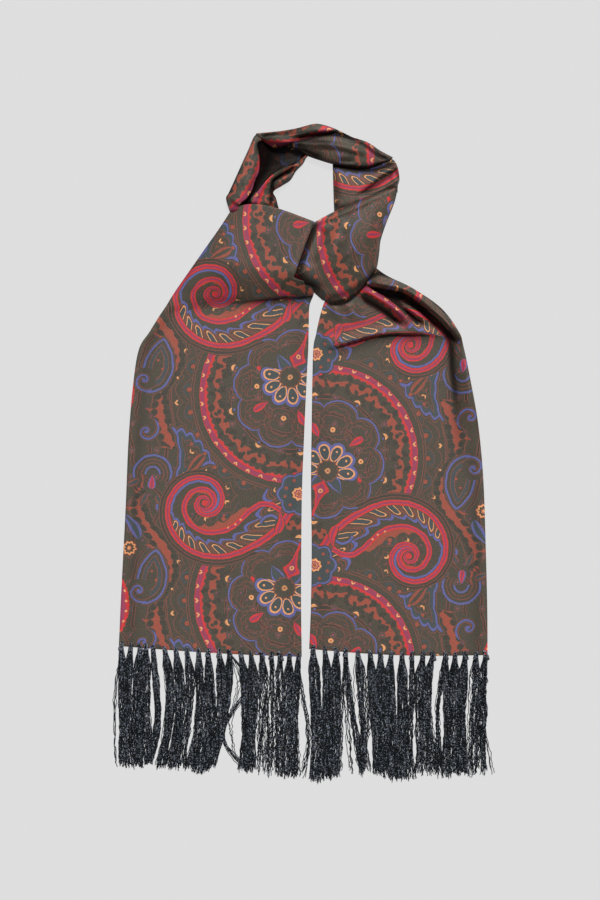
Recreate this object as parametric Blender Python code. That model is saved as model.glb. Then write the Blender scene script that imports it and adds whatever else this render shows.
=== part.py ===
"""A long fringed silk scarf, tied in a loose half knot and laid flat, as closed solids in metres, +Z up.

The tails point down (-Y) and the neck loop is at the top (+Y). The band behind the neck runs into a left
and a right collar stretch. The left one passes under the knot and leaves it as the right tail. The right
one crosses in front, turns under, comes up through the neck hole and folds forward as the left tail.
"""

from collections import namedtuple

import bmesh
import bpy
import numpy as np

MM = 0.001

# Driving sizes, in millimetres.
CLOTH_WALL = 2.0  # the doubled silk, lying loosely on itself
LAYER_GAP = 0.6  # between the left tail and the layers that it drapes over
SEAM_GAP = 0.4  # between a hem and its fringe
LOWEST_WALL = 1.5  # how thick a rounded stretch still is at its thinnest edge
KNOT_HEIGHT = 19.0  # top of the crossed layers, under the left tail
DRAPE_BLEND = 3.0  # how softly the left tail's drape runs out onto the floor
DRAPE_SIDE_WIDTH = 50.0  # how far in from its outer side the drape reaches its full height
DRAPE_END_WIDTH = 38.0  # how far up from the crease it does so, near the knot
DRAPE_WIDENING = 0.35  # by how much that grows for each millimetre towards the outer side
POCKET_FLOOR = 3.0  # the cloth at the bottom of the open pocket in the left collar stretch
FOLD_FADE = 0.35  # share of a fold's length over which it dies away at its far end

# A section runs straight across a stretch from its left edge to its right one. arch moves it towards +Y,
# most at lean, a share of the way across. rise is the height on the crown of a rounded solid.
Section = namedtuple("Section", "left_x left_y right_x right_y arch lean rise", defaults=(0.0, 0.5, 0.0))


def below(section, gap, rise):
    """The same section moved towards the hem by the gap, as the first one of a rounded solid."""
    return section._replace(left_y=section.left_y - gap, right_y=section.right_y - gap, rise=rise)


# From the fold over the knot, down over the drape, to the hem.
TAIL_LEFT = [
    Section(-100.5, 332.0, 16.3, 319.3, arch=15.5, lean=0.35),
    Section(-115.0, 310.5, 11.9, 308.0, arch=11.0, lean=0.38),
    Section(-140.0, 275.5, -0.2, 276.0, arch=5.0, lean=0.4),
    Section(-163.0, 243.0, -9.0, 250.0),
    Section(-174.5, 226.5, -10.1, 238.5, arch=-2.0),
    Section(-181.0, 216.5, -7.5, 230.8, arch=-3.0),
    Section(-188.0, 205.0, 15.5, 222.4, arch=-3.0),
    Section(-198.0, 190.0, 9.7, 205.0, arch=-2.0),
    Section(-211.0, 169.0, 8.6, 180.0),
    Section(-226.0, 144.0, 8.0, 148.0),
    Section(-234.0, 93.0, 5.4, 97.0),
    Section(-240.0, 20.0, 1.7, 14.0),
    Section(-244.0, -73.0, -1.0, -64.0),
    Section(-250.0, -190.0, -2.0, -190.0),
    Section(-253.4, -264.5, -1.1, -275.5, arch=-3.0),
]

# From the knot's lower end, where it is gathered, to the hem.
TAIL_RIGHT = [
    Section(30.7, 213.8, 102.9, 256.1, arch=-20.0),
    Section(28.5, 206.0, 120.5, 244.0, arch=-18.0),
    Section(25.5, 196.0, 152.0, 228.0, arch=-14.0),
    Section(21.5, 180.0, 190.5, 201.5, arch=-8.0),
    Section(18.5, 165.0, 214.0, 170.0, arch=-2.0),
    Section(14.9, 147.0, 221.0, 151.0),
    Section(13.5, 100.0, 231.8, 99.6),
    Section(12.6, 40.0, 242.3, 41.4),
    Section(11.7, -36.0, 249.4, -34.5),
    Section(12.6, -130.0, 252.8, -130.0),
    Section(11.5, -210.0, 254.8, -210.0),
    Section(9.1, -268.5, 255.2, -277.0, arch=-4.5),
]

# From the fold along its upper side to the lower end, where it turns under.
KNOT_FRONT = [
    Section(17.2, 317.6, 131.5, 369.0, arch=4.0, rise=15.0),
    Section(12.8, 308.0, 127.0, 348.0, arch=3.0, rise=18.0),
    Section(0.6, 276.0, 116.0, 320.0, rise=21.0),
    Section(-8.2, 250.0, 108.0, 296.0, rise=21.0),
    Section(-9.2, 239.0, 106.0, 280.0, rise=19.0),
    Section(-6.5, 233.0, 104.8, 270.0, arch=-4.0, rise=17.0),
    Section(9.0, 232.0, 103.8, 263.0, arch=-10.0, rise=15.0),
    Section(20.5, 223.2, 103.0, 259.5, arch=-16.0, rise=12.5),
    Section(30.5, 214.2, 102.4, 256.6, arch=-20.0, rise=10.0),
]

# From the band behind the neck down to the front flap's fold.
NECK_RIGHT = [
    Section(41.5, 398.0, 126.8, 404.8, arch=-8.6, rise=6.0),
    Section(41.9, 385.0, 131.6, 394.5, arch=-3.0, rise=9.0),
    Section(42.3, 370.0, 133.7, 381.0, rise=10.0),
    Section(42.8, 352.0, 132.9, 375.0, arch=1.0, rise=10.0),
    Section(43.5, 333.4, 131.4, 370.1, arch=2.0, rise=10.0),
]

# Along the band, from its left end to its right one; left is the lower edge and right the upper one.
NECK_BACK = [
    Section(-65.5, 439.4, -64.0, 442.0, rise=4.0),
    Section(-53.0, 431.0, -48.0, 443.5, rise=8.0),
    Section(-37.0, 420.8, -28.0, 446.0, rise=12.0),
    Section(-16.0, 421.6, -8.0, 449.5, rise=14.0),
    Section(6.9, 411.0, 13.0, 455.0, rise=15.0),
    Section(24.6, 404.7, 25.5, 455.0, rise=15.0),
    Section(41.3, 399.8, 43.9, 449.2, rise=15.0),
    Section(62.0, 395.4, 68.6, 437.7, rise=14.0),
    Section(84.2, 393.3, 90.0, 430.0, rise=13.0),
    Section(101.0, 397.2, 109.0, 417.5, rise=10.0),
    Section(120.0, 404.2, 124.5, 408.8, rise=5.0),
]

# Under the left tail, from its upper fold to just above the crease.
KNOT_CORE = [
    Section(-94.0, 327.5, 14.0, 317.2, arch=15.5, lean=0.35),
    Section(-106.0, 307.0, 10.6, 305.0, arch=8.0, lean=0.38),
    Section(-122.0, 284.0, 0.0, 280.0, arch=2.0),
    Section(-133.0, 262.0, -9.5, 256.0),
    Section(-132.0, 246.0, -12.6, 243.0),
    Section(-118.0, 232.0, -13.0, 231.0, arch=-2.0),
    Section(-108.0, 221.0, -13.5, 223.0, arch=-1.0),
]

# From the knots under each hem to the strands' ends.
FRINGE_LEFT = [
    below(TAIL_LEFT[-1], SEAM_GAP, rise=5.0),
    Section(-257.5, -310.0, -1.5, -315.0, rise=8.0),
    Section(-260.5, -370.0, 0.0, -375.0, rise=8.0),
    Section(-260.5, -424.0, 3.5, -445.0, rise=4.0),
]
FRINGE_RIGHT = [
    below(TAIL_RIGHT[-1], SEAM_GAP, rise=5.0),
    Section(8.0, -320.0, 257.5, -320.0, rise=8.0),
    Section(7.5, -380.0, 260.0, -380.0, rise=8.0),
    Section(9.0, -454.0, 260.5, -437.0, arch=4.0, rise=4.0),
]

# The left collar stretch, from the band down to the knot: the outer edge, the outer flap's own edge over
# the open pocket, the inner flap's edge over it, and the edge beside the neck hole.
Collar = namedtuple("Collar", "outer_x outer_y flap_x flap_y inner_x inner_y hole_x hole_y rise")
NECK_LEFT = [
    Collar(-67.5, 437.2, -63.0, 428.0, 1.0, 408.4, 4.8, 408.0, rise=8.0),
    Collar(-75.0, 419.5, -60.5, 414.0, -10.5, 398.8, 0.5, 400.0, rise=11.0),
    Collar(-83.0, 402.0, -59.5, 402.0, -24.0, 394.0, -9.0, 390.0, rise=14.0),
    Collar(-89.5, 387.5, -60.5, 389.0, -38.0, 386.0, -17.0, 377.5, rise=15.0),
    Collar(-96.0, 373.0, -65.5, 377.0, -49.0, 376.5, -29.0, 369.5, rise=16.0),
    Collar(-102.0, 360.0, -69.5, 364.0, -60.0, 363.0, -40.0, 362.0, rise=16.0),
    Collar(-105.5, 352.5, -77.0, 352.0, -70.0, 352.0, -36.5, 353.0, rise=16.0),
    Collar(-101.5, 337.5, -88.0, 342.0, -70.0, 344.9, -34.0, 343.6, rise=15.0),
]

# Folds that stand up from the right tail: three points along the crest, then half width and height.
Fold = namedtuple("Fold", "start middle end half_width height")
TAIL_RIGHT_FOLDS = [
    Fold((104.0, 250.0), (152.0, 222.0), (206.0, 178.0), half_width=15.0, height=12.0),  # along the outer side
    Fold((86.0, 225.0), (113.0, 211.0), (136.0, 184.0), half_width=13.0, height=11.0),  # leaves the knot
    Fold((222.0, 158.0), (229.0, 90.0), (236.0, -20.0), half_width=13.0, height=6.0),  # runs down the side
    Fold((44.0, 207.0), (47.0, 196.0), (50.0, 180.0), half_width=8.0, height=5.0),
    Fold((62.0, 207.0), (68.0, 196.0), (75.0, 178.0), half_width=8.0, height=5.0),
    Fold((186.0, 174.0), (130.0, 168.0), (82.0, 155.0), half_width=12.0, height=6.0),  # lies across the tail
]

# The lower sides of the drape: where it leaves the outer side's line and the crease below the knot.
DRAPE_SIDE_START = np.array([-118.0, 330.0])
DRAPE_SIDE_END = np.array([-173.0, 228.0])
DRAPE_CREASE_START = np.array([-100.0, 210.0])
DRAPE_CREASE_END = np.array([8.0, 218.6])

# Each material's colour, roughness: the print's average ground, and the darker fringe yarn.
SILK = ((0.115, 0.085, 0.070, 1.0), 0.5)
YARN = ((0.025, 0.030, 0.038, 1.0), 0.6)


def clear_scene():
    """Removes whatever the file holds, so that the scarf is alone in it."""
    for thing in list(bpy.data.objects):
        bpy.data.objects.remove(thing, do_unlink=True)


def smooth_rows(rows, steps):
    """Rows of numbers with steps - 1 more between each two, on a smooth curve through them all."""
    rows = np.array(rows, dtype=float)
    before = np.vstack([2 * rows[0] - rows[1], rows[:-2], rows[-3]])[: len(rows) - 1]
    after = np.vstack([rows[2:], 2 * rows[-1] - rows[-2]])
    smooth = []
    for previous, start, end, following in zip(before, rows[:-1], rows[1:], after):
        for share in np.arange(steps) / steps:
            leaving = (end - previous) / 2
            arriving = (following - start) / 2
            smooth.append(
                start * (1 - 3 * share**2 + 2 * share**3)
                + end * (3 * share**2 - 2 * share**3)
                + leaving * share * (1 - share) ** 2
                - arriving * share**2 * (1 - share)
            )
    smooth.append(rows[-1])
    return np.array(smooth)


def section_plan(sections, steps, columns):
    """The plan of a stretch as a grid of points, and each grid row's rise on its crown."""
    smooth = smooth_rows(sections, steps)
    across = np.linspace(0.0, 1.0, columns)[None, :, None]
    plan = smooth[:, None, 0:2] * (1 - across) + smooth[:, None, 2:4] * across
    bend = np.log(0.5) / np.log(smooth[:, None, 5])
    plan[..., 1] += smooth[:, None, 4] * np.sin(np.pi * across[..., 0] ** bend)
    return plan, smooth[:, 6]


def rounded(columns, left_edge, right_edge):
    """How high a rounded stretch is across its width, as a share of its crown, given that at its edges."""
    across = np.linspace(0.0, 1.0, columns)
    side = np.where(across < 0.5, left_edge, right_edge)
    return side + (1 - side) * np.sqrt(np.clip(1 - np.abs(2 * across - 1) ** 3, 0.0, 1.0))


def distance_to_line(plan, start, end):
    """Each point's distance from a straight stretch, and how far along it the nearest place is, 0 to 1."""
    run = end - start
    along = np.clip((plan - start) @ run / (run @ run), 0.0, 1.0)
    return np.linalg.norm(plan - start - along[..., None] * run, axis=-1), along


def fold_height(plan, fold):
    """A soft ridge along a fold's crest, which dies away at its far end."""
    start, middle, end = np.array(fold.start), np.array(fold.middle), np.array(fold.end)
    first, along_first = distance_to_line(plan, start, middle)
    second, along_second = distance_to_line(plan, middle, end)
    along = np.where(first < second, along_first / 2, 0.5 + along_second / 2)
    near = np.clip(np.minimum(first, second) / fold.half_width, 0.0, 1.0)
    fade = np.clip((1 - along) / FOLD_FADE, 0.0, 1.0)
    return fold.height * np.cos(near * np.pi / 2) ** 2 * fade


def above_floor(height):
    """The height where it is positive, blended softly down to exactly 0 where it isn't."""
    near_zero = np.clip(DRAPE_BLEND - np.abs(height), 0.0, None)
    return np.maximum(height, 0.0) + near_zero**2 / (4 * DRAPE_BLEND)


def side_distance(plan, start, end):
    """How far each point lies to the left of the way from start to end; negative on its right."""
    run = (end - start) / np.linalg.norm(end - start)
    offset = plan - start
    return run[0] * offset[..., 1] - run[1] * offset[..., 0]


def drape(plan):
    """The height of the left tail's underside, where it lies over the crossed layers."""
    in_from_side = side_distance(plan, DRAPE_SIDE_START, DRAPE_SIDE_END)
    up_from_crease = side_distance(plan, DRAPE_CREASE_START, DRAPE_CREASE_END)
    end_width = DRAPE_END_WIDTH + DRAPE_WIDENING * np.clip(-40.0 - plan[..., 0], 0.0, None)
    side = np.sin(np.clip(in_from_side / DRAPE_SIDE_WIDTH, -1.0, 1.0) * np.pi / 2)
    end = np.sin(np.clip(up_from_crease / end_width, -1.0, 1.0) * np.pi / 2)
    both = np.where((side < 0) | (end < 0), np.minimum(side, end), side * end)
    return above_floor(KNOT_HEIGHT * both)


def new_material(name, look):
    """A plain finish of this colour and roughness."""
    material = bpy.data.materials.new(name)
    material.use_nodes = True
    shader = material.node_tree.nodes["Principled BSDF"]
    shader.inputs["Base Color"].default_value = look[0]
    shader.inputs["Roughness"].default_value = look[1]
    shader.inputs["Metallic"].default_value = 0.0
    return material


def closed_solid(name, plan, low, high, look):
    """One closed body between two heights over the same grid of plan points, all in millimetres."""
    rows, columns = plan.shape[:2]
    mesh_builder = bmesh.new()
    layers = []
    for height in (low, high):
        grid = np.dstack([plan, np.broadcast_to(height, (rows, columns))]) * MM
        layers.append([[mesh_builder.verts.new(point) for point in row] for row in grid])
    for layer in layers:
        for row, next_row in zip(layer, layer[1:]):
            for i in range(columns - 1):
                mesh_builder.faces.new((row[i], row[i + 1], next_row[i + 1], next_row[i]))
    rims = []
    for layer in layers:
        far_side = [row[-1] for row in layer[1:-1]]
        near_side = [row[0] for row in layer[-2:0:-1]]
        rims.append(layer[0] + far_side + layer[-1][::-1] + near_side)
    low_rim, high_rim = rims
    for i in range(len(low_rim)):
        mesh_builder.faces.new((low_rim[i - 1], low_rim[i], high_rim[i], high_rim[i - 1]))
    bmesh.ops.recalc_face_normals(mesh_builder, faces=mesh_builder.faces)

    mesh = bpy.data.meshes.new(name)
    mesh_builder.to_mesh(mesh)
    mesh_builder.free()
    mesh.materials.append(new_material(name, look))
    mesh.shade_smooth()
    mesh.set_sharp_from_angle(angle=0.8)
    solid = bpy.data.objects.new(name, mesh)
    bpy.context.collection.objects.link(solid)
    return solid


def rounded_solid(name, sections, steps, columns, left_edge, right_edge, look=SILK):
    """A folded stretch as one solid, flat underneath and rounded on top."""
    plan, rise = section_plan(sections, steps, columns)
    high = np.maximum(rise[:, None] * rounded(columns, left_edge, right_edge), LOWEST_WALL)
    return closed_solid(name, plan, 0.0, high, look)


def tail_left():
    """A wall of cloth that lies flat and rides up over the knot."""
    plan, _ = section_plan(TAIL_LEFT, steps=2, columns=15)
    low = drape(plan)
    return closed_solid("tail_left", plan, low, low + CLOTH_WALL, SILK)


def tail_right():
    """A wall of cloth that lies flat, with the folds of its gathers standing up near the knot."""
    plan, _ = section_plan(TAIL_RIGHT, steps=3, columns=19)
    low = sum(fold_height(plan, fold) for fold in TAIL_RIGHT_FOLDS)
    low = np.where(low < 0.2, 0.0, low)
    return closed_solid("tail_right", plan, low, low + CLOTH_WALL, SILK)


def knot_core():
    """The layers that the left tail hides, as one rounded solid that follows its underside."""
    plan, _ = section_plan(KNOT_CORE, steps=2, columns=11)
    high = np.maximum(drape(plan) - LAYER_GAP, LOWEST_WALL)
    return closed_solid("knot_core", plan, 0.0, high, SILK)


def neck_left():
    """The left collar stretch: an outer and an inner flap, with an open pocket between them."""
    smooth = smooth_rows(NECK_LEFT, 2)
    outer, flap, inner, hole = (smooth[:, i : i + 2] for i in (0, 2, 4, 6))
    # Each strip: its two edges, its grid columns, and the share of the rise at each of those columns.
    strips = [
        (outer, flap, (0.35, 0.8, 0.95, 1.0, 0.85)),
        (flap, inner, (0.0, 0.0, 0.0)),
        (inner, hole, (0.85, 1.0, 1.0, 0.95, 0.75, 0.4)),
    ]
    plan_columns, rise_columns = [], []
    inset = 0.04  # keeps a strip's edge off its neighbour's, so that the walls of the pocket slope a little
    for first, second, shares in strips:
        for across, share in zip(np.linspace(inset, 1 - inset, len(shares)), shares):
            plan_columns.append(first * (1 - across) + second * across)
            rise_columns.append(np.maximum(smooth[:, 8] * share, POCKET_FLOOR))
    plan = np.stack(plan_columns, axis=1)
    return closed_solid("neck_left", plan, 0.0, np.stack(rise_columns, axis=1), SILK)


def centre_on_floor(solids):
    """Moves the whole scarf so that the middle of its plan is at the origin."""
    corners = np.array([vertex.co for solid in solids for vertex in solid.data.vertices])
    middle = (corners.min(axis=0) + corners.max(axis=0)) / 2
    for solid in solids:
        for vertex in solid.data.vertices:
            vertex.co.x -= middle[0]
            vertex.co.y -= middle[1]


def main():
    clear_scene()
    solids = [
        rounded_solid("neck_back", NECK_BACK, 2, 9, left_edge=0.3, right_edge=0.3),
        neck_left(),
        rounded_solid("neck_right", NECK_RIGHT, 2, 11, left_edge=0.6, right_edge=0.3),
        rounded_solid("knot_front", KNOT_FRONT, 2, 13, left_edge=0.85, right_edge=0.3),
        knot_core(),
        tail_left(),
        tail_right(),
        rounded_solid("fringe_left", FRINGE_LEFT, 2, 13, left_edge=0.5, right_edge=0.5, look=YARN),
        rounded_solid("fringe_right", FRINGE_RIGHT, 2, 13, left_edge=0.5, right_edge=0.5, look=YARN),
    ]
    centre_on_floor(solids)


main()
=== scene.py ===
from math import cos, pi, radians, sin

import bpy
import numpy as np
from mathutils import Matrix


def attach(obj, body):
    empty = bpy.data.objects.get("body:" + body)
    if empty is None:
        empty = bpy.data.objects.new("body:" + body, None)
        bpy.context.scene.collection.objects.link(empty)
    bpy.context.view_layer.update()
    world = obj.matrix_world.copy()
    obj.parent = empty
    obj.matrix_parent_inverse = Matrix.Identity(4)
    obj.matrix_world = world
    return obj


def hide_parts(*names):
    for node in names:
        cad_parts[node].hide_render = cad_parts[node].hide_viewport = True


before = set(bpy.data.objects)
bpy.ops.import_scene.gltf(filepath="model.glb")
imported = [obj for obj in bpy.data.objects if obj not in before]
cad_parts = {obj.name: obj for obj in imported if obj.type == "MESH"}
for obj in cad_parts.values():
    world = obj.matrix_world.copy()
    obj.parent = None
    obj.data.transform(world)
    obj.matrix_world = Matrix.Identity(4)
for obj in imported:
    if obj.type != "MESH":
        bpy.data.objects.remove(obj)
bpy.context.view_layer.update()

# A long fringed silk scarf, tied in a loose half knot and laid flat. The tails point down (-Y) and the neck
# loop is at the top (+Y). Lengths in the tables are millimetres, and MM turns them into metres.
MM = 0.001
DEGREE = pi / 180


# ---------------------------------------------------------------- shader sums

class Wire:
    """A socket of a node tree that can be added, multiplied and compared like a number."""

    tree = None  # the node tree that new nodes go into

    def __init__(self, socket):
        self.socket = socket

    @classmethod
    def node(cls, kind, settings=(), values=(), output=0, stops=None):
        """Adds a node: its settings and a ramp's stops first, then the numbers or wires of its sockets."""
        made = cls.tree.nodes.new(kind)
        for name, setting in dict(settings).items():
            setattr(made, name, setting)
        if stops:
            made.color_ramp.interpolation = "CONSTANT"
            made.color_ramp.elements.remove(made.color_ramp.elements[1])
            for i, (place, colour) in enumerate(stops):
                element = made.color_ramp.elements.new(place) if i else made.color_ramp.elements[0]
                element.position = place
                element.color = colour
        for key, value in dict(values).items():
            if isinstance(value, Wire):
                cls.tree.links.new(value.socket, made.inputs[key])
            else:
                made.inputs[key].default_value = value
        wire = cls(made.outputs[output])
        wire.made = made
        return wire

    def out(self, name):
        """Another output of this wire's node."""
        return Wire(self.made.outputs[name])

    @classmethod
    def math(cls, operation, *terms):
        return cls.node("ShaderNodeMath", {"operation": operation}, enumerate(terms))

    @classmethod
    def vector(cls, operation, *terms, output=0):
        return cls.node("ShaderNodeVectorMath", {"operation": operation}, enumerate(terms), output)

    def __add__(self, other): return Wire.math("ADD", self, other)
    def __radd__(self, other): return Wire.math("ADD", other, self)
    def __sub__(self, other): return Wire.math("SUBTRACT", self, other)
    def __rsub__(self, other): return Wire.math("SUBTRACT", other, self)
    def __mul__(self, other): return Wire.math("MULTIPLY", self, other)
    def __rmul__(self, other): return Wire.math("MULTIPLY", other, self)
    def __truediv__(self, other): return Wire.math("DIVIDE", self, other)
    def __lt__(self, other): return Wire.math("LESS_THAN", self, other)
    def __gt__(self, other): return Wire.math("GREATER_THAN", self, other)
    def __abs__(self): return Wire.math("ABSOLUTE", self)
    def sin(self): return Wire.math("SINE", self)
    def cos(self): return Wire.math("COSINE", self)
    def exp(self): return Wire.math("EXPONENT", self)
    def root(self): return Wire.math("SQRT", self)
    def log(self): return Wire.math("LOGARITHM", self, 2.718281828)
    def power(self, other): return Wire.math("POWER", self, other)
    def least(self, other): return Wire.math("MINIMUM", self, other)
    def most(self, other): return Wire.math("MAXIMUM", self, other)
    def turn(self, across): return Wire.math("ARCTAN2", self, across)
    def near(self, value, width): return Wire.math("COMPARE", self, value, width)
    def wrap(self, low, high): return Wire.math("WRAP", self, high, low)

    def ramp(self, low, high, kind="LINEAR"):
        """0 below low, 1 above high."""
        return Wire.node("ShaderNodeMapRange", {"interpolation_type": kind}, {0: self, 1: low, 2: high})

    def smooth(self, low, high):
        return self.ramp(low, high, "SMOOTHSTEP")

    def mix(self, first, second):
        """first where this is 0, second where it is 1."""
        return Wire.node("ShaderNodeMix", {}, {0: self, 2: first, 3: second})

    def tint(self, colour, other):
        """One colour where this is 0, another where it is 1."""
        return Wire.node("ShaderNodeMix", {"data_type": "RGBA"}, {0: self, 6: colour, 7: other}, 2)

    # A place on the cloth is a vector (x, y, 1) in millimetres.
    def away(self, x, y):
        """How far this place is from a point."""
        return Wire.vector("DISTANCE", self, (x, y, 1.0), output=1)

    def along(self, x, y, angle):
        """How far this place lies from a point in a direction, in degrees from +x."""
        c, s = cos(radians(angle)), sin(radians(angle))
        return Wire.vector("DOT_PRODUCT", self, (c, s, -x * c - y * s), output=1)

    def round(self, x, y):
        """This place's angle about a point, in radians."""
        return self.along(x, y, 90).turn(self.along(x, y, 0))

    def repeat(self, low, period):
        """This place moved by whole periods along y, to between low and low + period."""
        return Wire.vector("WRAP", self, (9e3, low + period, 9e3), (-9e3, low, -9e3))

    def tile(self, wide, long):
        """This place in a tile centred on 0."""
        return Wire.vector("WRAP", self, (wide / 2, long / 2, 9e3), (-wide / 2, -long / 2, -9e3))

    def shift(self, x, y):
        return Wire.vector("ADD", self, (x, y, 0.0))


def length(across, along):
    """The length of a vector given by two wires."""
    pair = Wire.node("ShaderNodeCombineXYZ", {}, {0: across, 1: along})
    return Wire.vector("LENGTH", pair, output=1)


def linear(colour):
    """A colour given as 0 to 255 in screen values, as the shader wants it."""
    shares = [c / 255 for c in colour]
    return tuple(c / 12.92 if c <= 0.04045 else ((c + 0.055) / 1.055) ** 2.4 for c in shares) + (1.0,)


class Print:
    """The colour of a printed cloth, painted motif over motif."""

    def __init__(self, ground):
        self.colour = linear(ground)

    def paint(self, mask, colour):
        self.colour = mask.tint(self.colour, linear(colour))

    def bands(self, distance, rows, where=None):
        """Paints the bands between one distance and the next: rows has the lowest distance, then each band's
        upper end and its colour, or None where nothing is painted."""
        low, high = rows[0], rows[-1][0]
        stops, start = [], low
        for limit, colour in rows[1:]:
            stops.append(((start - low) / (high - low), linear(colour) if colour else (0, 0, 0, 0)))
            start = limit
        if low and stops[0][1][3]:
            stops[0] = (1 / 250, stops[0][1])
            stops.insert(0, (0.0, (0, 0, 0, 0)))
        if stops[-1][1][3]:
            stops.append((1.0, (0, 0, 0, 0)))
        scaled = Wire.math("MULTIPLY_ADD", distance, 1 / (high - low), -low / (high - low))
        ramp = Wire.node("ShaderNodeValToRGB", values={0: scaled}, stops=stops)
        mask = ramp.out("Alpha")
        if where is not None:
            mask = mask * where
        self.colour = mask.tint(self.colour, ramp)


# ---------------------------------------------------------------- the printed silk

# The print's colours, as 0 to 255 screen values.
GROUND = (76, 73, 61)
DARK = (64, 63, 54)
SLATE = (68, 80, 82)
RED = (214, 56, 58)
PLUM = (158, 64, 94)
RUST = (163, 82, 64)
THIN = (136, 80, 68)
MAUVE = (122, 74, 92)
BLUE = (99, 103, 163)
GOLD = (242, 168, 110)

# The print repeats along the scarf. Its places are millimetres on the cloth: x from the scroll's eye towards
# the edge that the medallions lie on, y from the hem upwards.
REPEAT = 291.0
MEDALLION = (115.5, 156.5)
LACE_STEP = 360 / 28  # degrees between the figures of the medallion's lace
FLOWER = (111.1, 173.5)
SHIELD = (129.4, 12.6)
SCROLL_GROWTH = 0.235  # how fast the scroll opens, in the logarithm of its radius for each radian
SCROLL_RADIUS = 34.5  # its outer arm, straight above the eye


def centred(place, y):
    """The place in the repeat that has y in its middle."""
    return place.repeat(y - REPEAT / 2, REPEAT)


def spot(x, y, radius, angle):
    """The point at a distance from another, in a direction in degrees from +x."""
    return x + radius * cos(angle * DEGREE), y + radius * sin(angle * DEGREE)


def pitch(angle, start, step, radius):
    """How far round a circle the nearest of its evenly spaced marks lies, in millimetres."""
    return (angle - start * DEGREE).wrap(-step * DEGREE / 2, step * DEGREE / 2) * radius


def drop(silk, place, x, y, angle, long, wide, rows, bend=0.0):
    """A pointed drop with its round head at (x, y). Its bands are shares of its half width."""
    along, across = place.along(x, y, angle), place.along(x, y, angle + 90)
    if bend:
        across = across - along * along * (bend / long)
    share = ((along + wide) * (1 / (long + wide))).most(0.0).least(1.0)
    half = share.root() * (1 - share) * (wide * 2.6)
    silk.bands(abs(across) / half.most(0.05), [0.0, *rows, (2.5, None)],
               where=along.near((long - wide) / 2, (long + wide) / 2))


def curl(silk, place, x, y, turning, radius, start=0.0):
    """A small spiral in two lines."""
    away = place.away(x, y)
    turns = (away * (1 / radius)).most(0.02).log() * (1 / 0.27) - place.round(x, y) * turning - start
    silk.paint(away < radius + 3, GROUND)
    silk.bands(abs(turns.wrap(-pi, pi) * away * 0.27), [0.0, (1.3, BLUE), (2.4, None), (3.2, THIN)],
               where=away < radius + 4)


def rosette(silk, place, x, y, petals, rows):
    """Rings with a petalled outline."""
    wave = (place.round(x, y) * petals).sin() * 0.9
    silk.bands(place.away(x, y) + wave, [0.0, *rows])


def ground_figures(silk, place):
    """Thin contour lines between the motifs, and a scatter of small dots and buds."""
    around = centred(place, MEDALLION[1])
    height = place.along(0, 0, 90)
    sway = (height * (8 * pi / REPEAT)).sin() * 4 + (height * (18 * pi / REPEAT)).sin() * 1.5
    silk.bands((around.away(*MEDALLION) + sway).wrap(0.0, 21.0),
               [0.0, (0.9, THIN), (3.4, DARK), (4.2, THIN), (21.0, None)])
    for x, y, heart, rim in ((0, 0, RUST, SLATE), (17, 15, MAUVE, GROUND), (9, 25, MAUVE, GROUND)):
        dot = place.shift(x, y).tile(34.0, REPEAT / 8).away(0, 0)
        silk.bands(dot, [0.0, (1.6, heart), (3.6, rim), (4.4, THIN if rim == SLATE else GROUND)])


def lobes(silk, across, along, size, where=None):
    """Round dark lobes with a pale rim."""
    silk.bands(length(across, along), [0.0, (size, DARK), (size + 1.1, GROUND)], where=where)


def large_paisley(silk, near, x, y):
    """A drop with a round back that winds in to a curl at its foot, where its (x, y) is."""
    away, angle = near.away(x, y), near.round(x, y)
    back = ((away * (1 / 17.4)).log() * 2 - angle - 80 * DEGREE) * away * 0.5
    front = (angle + away * 0.012 - 1.92) * away
    silk.bands(back.most(front),
               [-20.0, (-13.4, GROUND), (-12.5, THIN), (-7.9, SLATE), (-7.0, THIN), (-2.9, GROUND),
                (0.0, BLUE), (1.4, GROUND), (2.3, THIN), (3.6, GROUND)],
               where=(angle > -80 * DEGREE) * (away > 14))
    for side, up in ((18, 27), (24, 15)):
        silk.paint(near.away(x + side, y + up) < 1.9, RUST)
    curl(silk, near, x, y, 1, 13.5, 2.03)


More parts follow.
